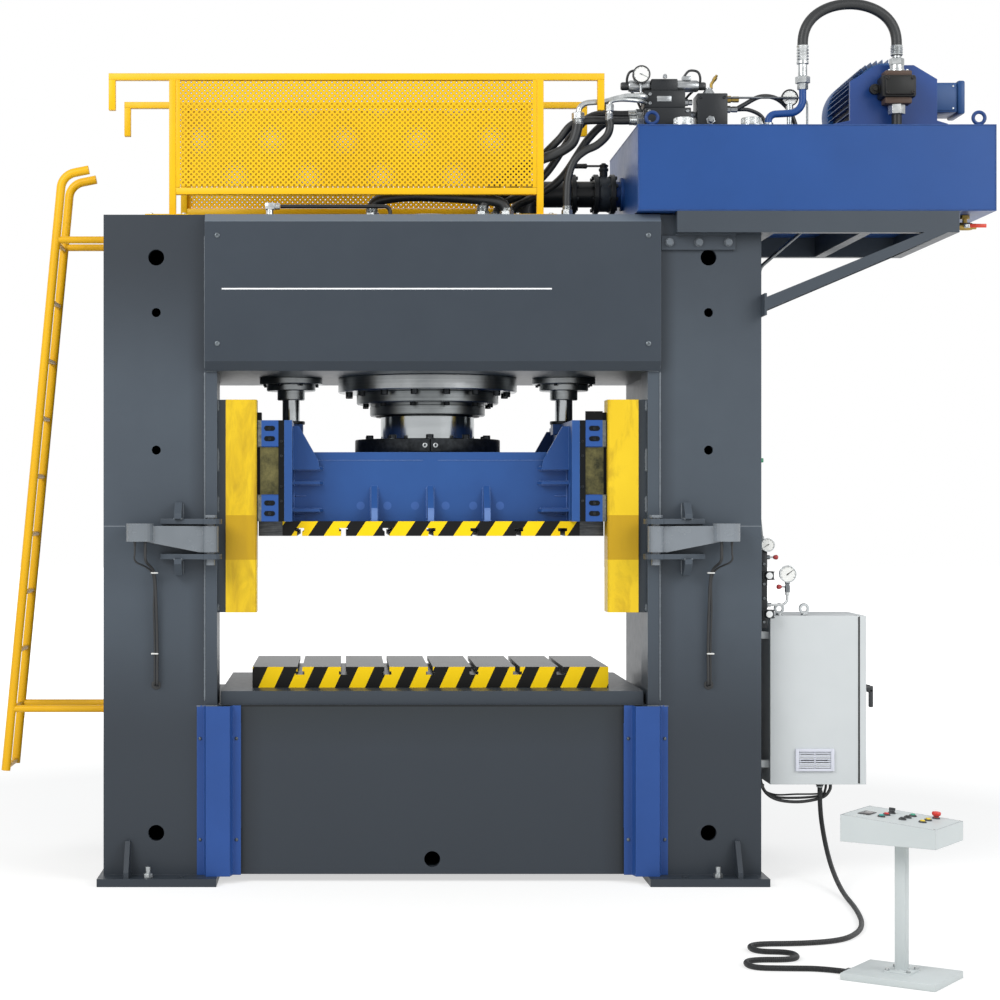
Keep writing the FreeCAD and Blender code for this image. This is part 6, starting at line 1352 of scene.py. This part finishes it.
louvre_plastic = moulded("louvre_plastic", "#cfd2dd", "#dadce6", 0.40, 400.0)
louvre = bmesh.new()
for low, high in (((2028, -590, 596), (2046, -575, 720)), ((2225, -590, 596), (2243, -575, 720)),
        ((2046, -590, 596), (2225, -575, 611)), ((2046, -590, 704), (2225, -575, 720)),
        ((2132, -586, 611), (2139, -575, 704))):
    block(louvre, low, high, 1.5)
for i in range(8):
    z = 614 + 11.4 * i
    block(louvre, (2046, -586, z), (2225, -577, z + 5), 0.8)
fit("louvre_frame", louvre, [louvre_plastic], "light_paint", "frame")

CABINET_ROOF, CABINET_FLOOR = 1461, 521
roof = bmesh.new()
for x in (1949, 2089):
    ring_eye(roof, x, -515, CABINET_ROOF, 60, 30)
    lathe(roof, (x, -515, CABINET_ROOF), UP, [(0, 21), (2, 21), (2, 0)], 24)
lathe(roof, (2175, -525, CABINET_FLOOR), DOWN, [(0, 19), (0, 22), (10, 22), (11, 19), (13, 19),
    (17, 18), (21, 15)], 24, 1)
lathe(roof, (1840, -560, CABINET_FLOOR), DOWN, [(0, 18), (16, 17), (20, 12), (20, 0)], 24, 1)
lathe(roof, (2020, -300, CABINET_FLOOR), DOWN, [(0, 18), (16, 17), (20, 12), (20, 0)], 24, 1)
# Cables come down behind the cabinet, sag under it and go up through its floor.
for lag, radius in ((0, 9), (20, 7), (38, 5)):
    sweep(roof, flowing([(1846, -470 + lag, 900), (1848, -470 + lag, 640), (1862, -474 + lag, 500),
        (1930, -478 + lag, 430 + lag / 2), (2060, -486 + lag, 412 + lag),
        (2190, -494 + lag, 436 + lag / 2), (2236 - lag, -498 + lag, 480),
        (2240 - lag, -500 + lag, 530)]), radius, 14, 1)
fit("roof_eyes", roof, [bright_zinc, black_rubber], "zinc", "frame")

handle_plastic = moulded("handle_plastic", "#26282a", "#35383b", 0.38, 400.0)
latch = bmesh.new()
lathe(latch, (2403, -515, 1055), RIGHT, [(0, 9.8), (20, 9.8), (20, 21), (24, 22), (36, 20),
    (44, 17), (54, 16), (56, 13), (56, 0)], 32)
block(latch, (2440, -530, 1030), (2474, -500, 1066), 5.0)
block(latch, (2452, -530, 946), (2474, -500, 1048), 5.0)
lathe(latch, (2474, -515, 1050), RIGHT, [(-1, 8), (0.5, 7.5), (0.5, 3), (-3, 3), (-3, 0)], 20, 1)
fit("latch_lever", latch, [handle_plastic, case_steel], "black_plastic", "handle", "door_handle")


# ---- Push-button console ---------------------------------------------------------------------
# A folded box on a square post and a flat foot, powder coated pale grey. Its sloping lid has a thin
# joint round it and carries moulded buttons in black rings, a selector and a red mushroom button.
console_coat = enamel("console_coat", "#ccd2d2", "#c4cbcb", "#e3e7e7", 0.46)
dress(console_coat, "console_box")
LID_MIDDLE, LID_RISE, LID_DEPTH, CAP_FOOT = 707, 34, 430, -14
stand = Matrix.Translation((1960, -3165, 0)) @ Matrix.Rotation(math.radians(55), 4, "Z")
lid = stand @ Matrix.Translation((0, 0, LID_MIDDLE))
lid = lid @ Matrix.Rotation(math.atan(LID_RISE / LID_DEPTH), 4, "X")

lid_parts = bmesh.new()
joint_grey = moulded("joint_grey", "#7f8586", "#8c9293", 0.55, 200.0)
for low, high in (((-168, -213, -1.6), (168, -211.6, 0.4)), ((-168, 211.6, -1.6), (168, 213, 0.4)),
        ((-168, -213, -1.6), (-166.6, 213, 0.4)), ((166.6, -213, -1.6), (168, 213, 0.4))):
    block(lid_parts, low, high, 0.0, 1)
places = {"teal_button": (-60, 70), "red_button": (0, 70), "first_black_button": (-45, -20),
    "second_black_button": (18, -20), "green_button": (80, -20), "first_yellow_button": (-30, -105),
    "second_yellow_button": (38, -105), "selector_knob": (64, 70), "estop_button": (118, -112)}
for x, y in places.values():
    lathe(lid_parts, (x, y, 0), UP, [(-1, 15), (-1, 17.4), (1.5, 17.4), (4, 16.4), (6.6, 15.6),
        (6.6, 11.8), (-1, 11.8), (-1, 15)], 40)
block(lid_parts, (-77, 121, -0.6), (15, 173, 3.6), 1.2)
block(lid_parts, (-70, 127, 3.4), (8, 167, 4.2), 0.3, 2)
for x, y in ((-160, -205), (160, -205), (-160, 205), (160, 205)):
    lathe(lid_parts, (x, y, 0), UP, [(0, 5), (1.5, 4.5), (1.5, 0)], 20, 3)
display_glass = moulded("display_glass", "#2b2224", "#3a2a2c", 0.12, 60.0)
fit("lid_fittings", lid_parts, [handle_plastic, joint_grey, display_glass, bright_zinc],
    "black_plastic", "frame", place=lid)

foot_parts = bmesh.new()
block(foot_parts, (-175, -215, 0), (175, 215, 32), 4.0, 1)
block(foot_parts, (-60, -60, 30), (60, 60, 40), 2.0, 1)
block(foot_parts, (-25, -25, 38), (25, 25, 608), 6.0, 1)
block(foot_parts, (-88, 210, 0), (-32, 236, 28), 4.0, 2)
for x, y in ((-48, -48), (48, -48), (-48, 48), (48, 48)):
    hex_head(foot_parts, (x, y, 40), UP, 10, 10)
for (x0, y0), (x1, y1) in (((-26, -26), (26, -26)), ((26, -26), (26, 26)), ((26, 26), (-26, 26)),
        ((-26, 26), (-26, -26))):
    bead(foot_parts, (x0, y0, 41), (x1, y1, 41), 3.5, 1)
fit("console_stand", foot_parts, [bright_zinc, console_coat, handle_plastic], "light_paint",
    "frame", "console_base", place=stand)

caps = {"teal_button": ("#2f9c95", "#3bb0a8"), "red_button": ("#c62c2c", "#d94141"),
    "first_black_button": ("#26282a", "#34373a"), "second_black_button": ("#26282a", "#34373a"),
    "green_button": ("#2f9a78", "#3cab88"), "first_yellow_button": ("#e8c722", "#f0d43c"),
    "second_yellow_button": ("#e8c722", "#f0d43c")}
for name, (deep, pale) in caps.items():
    x, y = places[name]
    press_cap = bmesh.new()
    lathe(press_cap, (x, y, CAP_FOOT), UP, [(0, 10.8), (23.5, 10.8), (25, 9.6), (25, 8.4),
        (24.2, 7.6), (24, 0)], 32)
    fit(name + "_cap", press_cap, [moulded(name + "_plastic", deep, pale, 0.36, 300.0)],
        "black_plastic", name, name, place=lid)

mushroom_red = moulded("mushroom_red", "#c9291f", "#dc3b2e", 0.32, 300.0)
stop = bmesh.new()
x, y = places["estop_button"]
lathe(stop, (x, y, CAP_FOOT), UP, [(0, 10.8), (26, 10.8), (28, 14), (28, 16.5), (32, 19.2),
    (37, 20), (41, 19.4), (44.5, 16.5), (46, 11), (46, 0)], 48)
lathe(stop, (x, y, 6.8), UP, [(4.2, 11), (4.2, 12.6), (6.8, 13.4), (6.8, 11), (4.2, 11)], 32, 1)
fit("mushroom_head", stop, [mushroom_red, handle_plastic], "red_plastic", "estop", "estop_button",
    place=lid)

selector = bmesh.new()
x, y = places["selector_knob"]
lathe(selector, (x, y, CAP_FOOT), UP, [(0, 10.8), (21, 10.8), (23, 13), (30, 12.4), (32, 11),
    (32, 0)], 32)
block(selector, (x - 5, y - 14, 14), (x + 5, y + 14, 26), 2.0)
block(selector, (x - 0.9, y + 4, 25.8), (x + 0.9, y + 13, 26.4), 0.2, 1)
fit("selector_grip", selector, [handle_plastic, white_plate], "black_plastic", "selector",
    "selector_knob", place=lid)


# ---- Conduit to the console ------------------------------------------------------------------
# Black corrugated nylon conduit, limp with its wires: down from the cabinet, over the floor in two
# loose folds and into the console's foot. Its rings are drawn 8 mm apart so that they show.
LEAD_POINTS = [(2.175, -0.525, 0.500), (2.175, -0.525, 0.385), (2.178, -0.600, 0.250),
    (2.176, -0.760, 0.125), (2.168, -0.985, 0.050), (2.155, -1.230, 0.018), (2.140, -1.480, 0.014),
    (2.110, -1.740, 0.014), (2.070, -1.975, 0.014), (2.000, -2.195, 0.014), (1.880, -2.385, 0.014),
    (1.675, -2.462, 0.014), (1.413, -2.470, 0.014), (1.405, -2.646, 0.014), (1.590, -2.656, 0.014),
    (1.582, -2.830, 0.014), (1.330, -2.822, 0.014), (1.322, -2.998, 0.014), (1.497, -3.012, 0.014),
    (1.643, -3.017, 0.014), (1.7323, -3.0788, 0.014)]
LEAD_LENGTH = 3.823
RIB_PITCH = 0.008
lead_curve = bpy.data.curves.new("console_lead", "CURVE")
lead_curve.dimensions = "3D"
lead_curve.resolution_u = 24
lead_curve.bevel_depth = 0.013
lead_curve.bevel_resolution = 6
lead_curve.use_fill_caps = True
lead_line = lead_curve.splines.new("NURBS")
lead_line.points.add(len(LEAD_POINTS) - 1)
for point, place in zip(lead_line.points, LEAD_POINTS):
    point.co = place + (1.0,)
lead_line.order_u = 3
lead_line.use_endpoint_u = True
console_lead = bpy.data.objects.new("console_lead", lead_curve)
scene.collection.objects.link(console_lead)

ribbed_nylon = moulded("ribbed_nylon", "#1b1d1f", "#2f3234", 0.46, 300.0)
round_it = node(ribbed_nylon, "TexCoord")
along_it = node(ribbed_nylon, "SeparateXYZ", {"Vector": (round_it, "UV")})
rings = node(ribbed_nylon, "Math", {0: (along_it, "X"), 1: 2 * math.pi * LEAD_LENGTH / RIB_PITCH},
    operation="MULTIPLY")
swell = node(ribbed_nylon, "Math", {0: (rings, "Value")}, operation="SINE")
ribs = node(ribbed_nylon, "Bump", {"Strength": 0.9, "Distance": 0.002, "Height": (swell, "Value")})
ribbed_nylon.node_tree.links.new(ribs.outputs["Normal"],
    ribbed_nylon.node_tree.nodes["skin"].inputs["Normal"])
# Painted shade: the troughs between the rings are painted darker.
groove_shade = node(ribbed_nylon, "MapRange", {"Value": (swell, "Value"), "From Min": 1.0,
    "From Max": -1.0})
mark(ribbed_nylon, "#0c0d0e", (groove_shade, "Result"))
lead_curve.materials.append(ribbed_nylon)
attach(console_lead, "frame")
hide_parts("conduit")
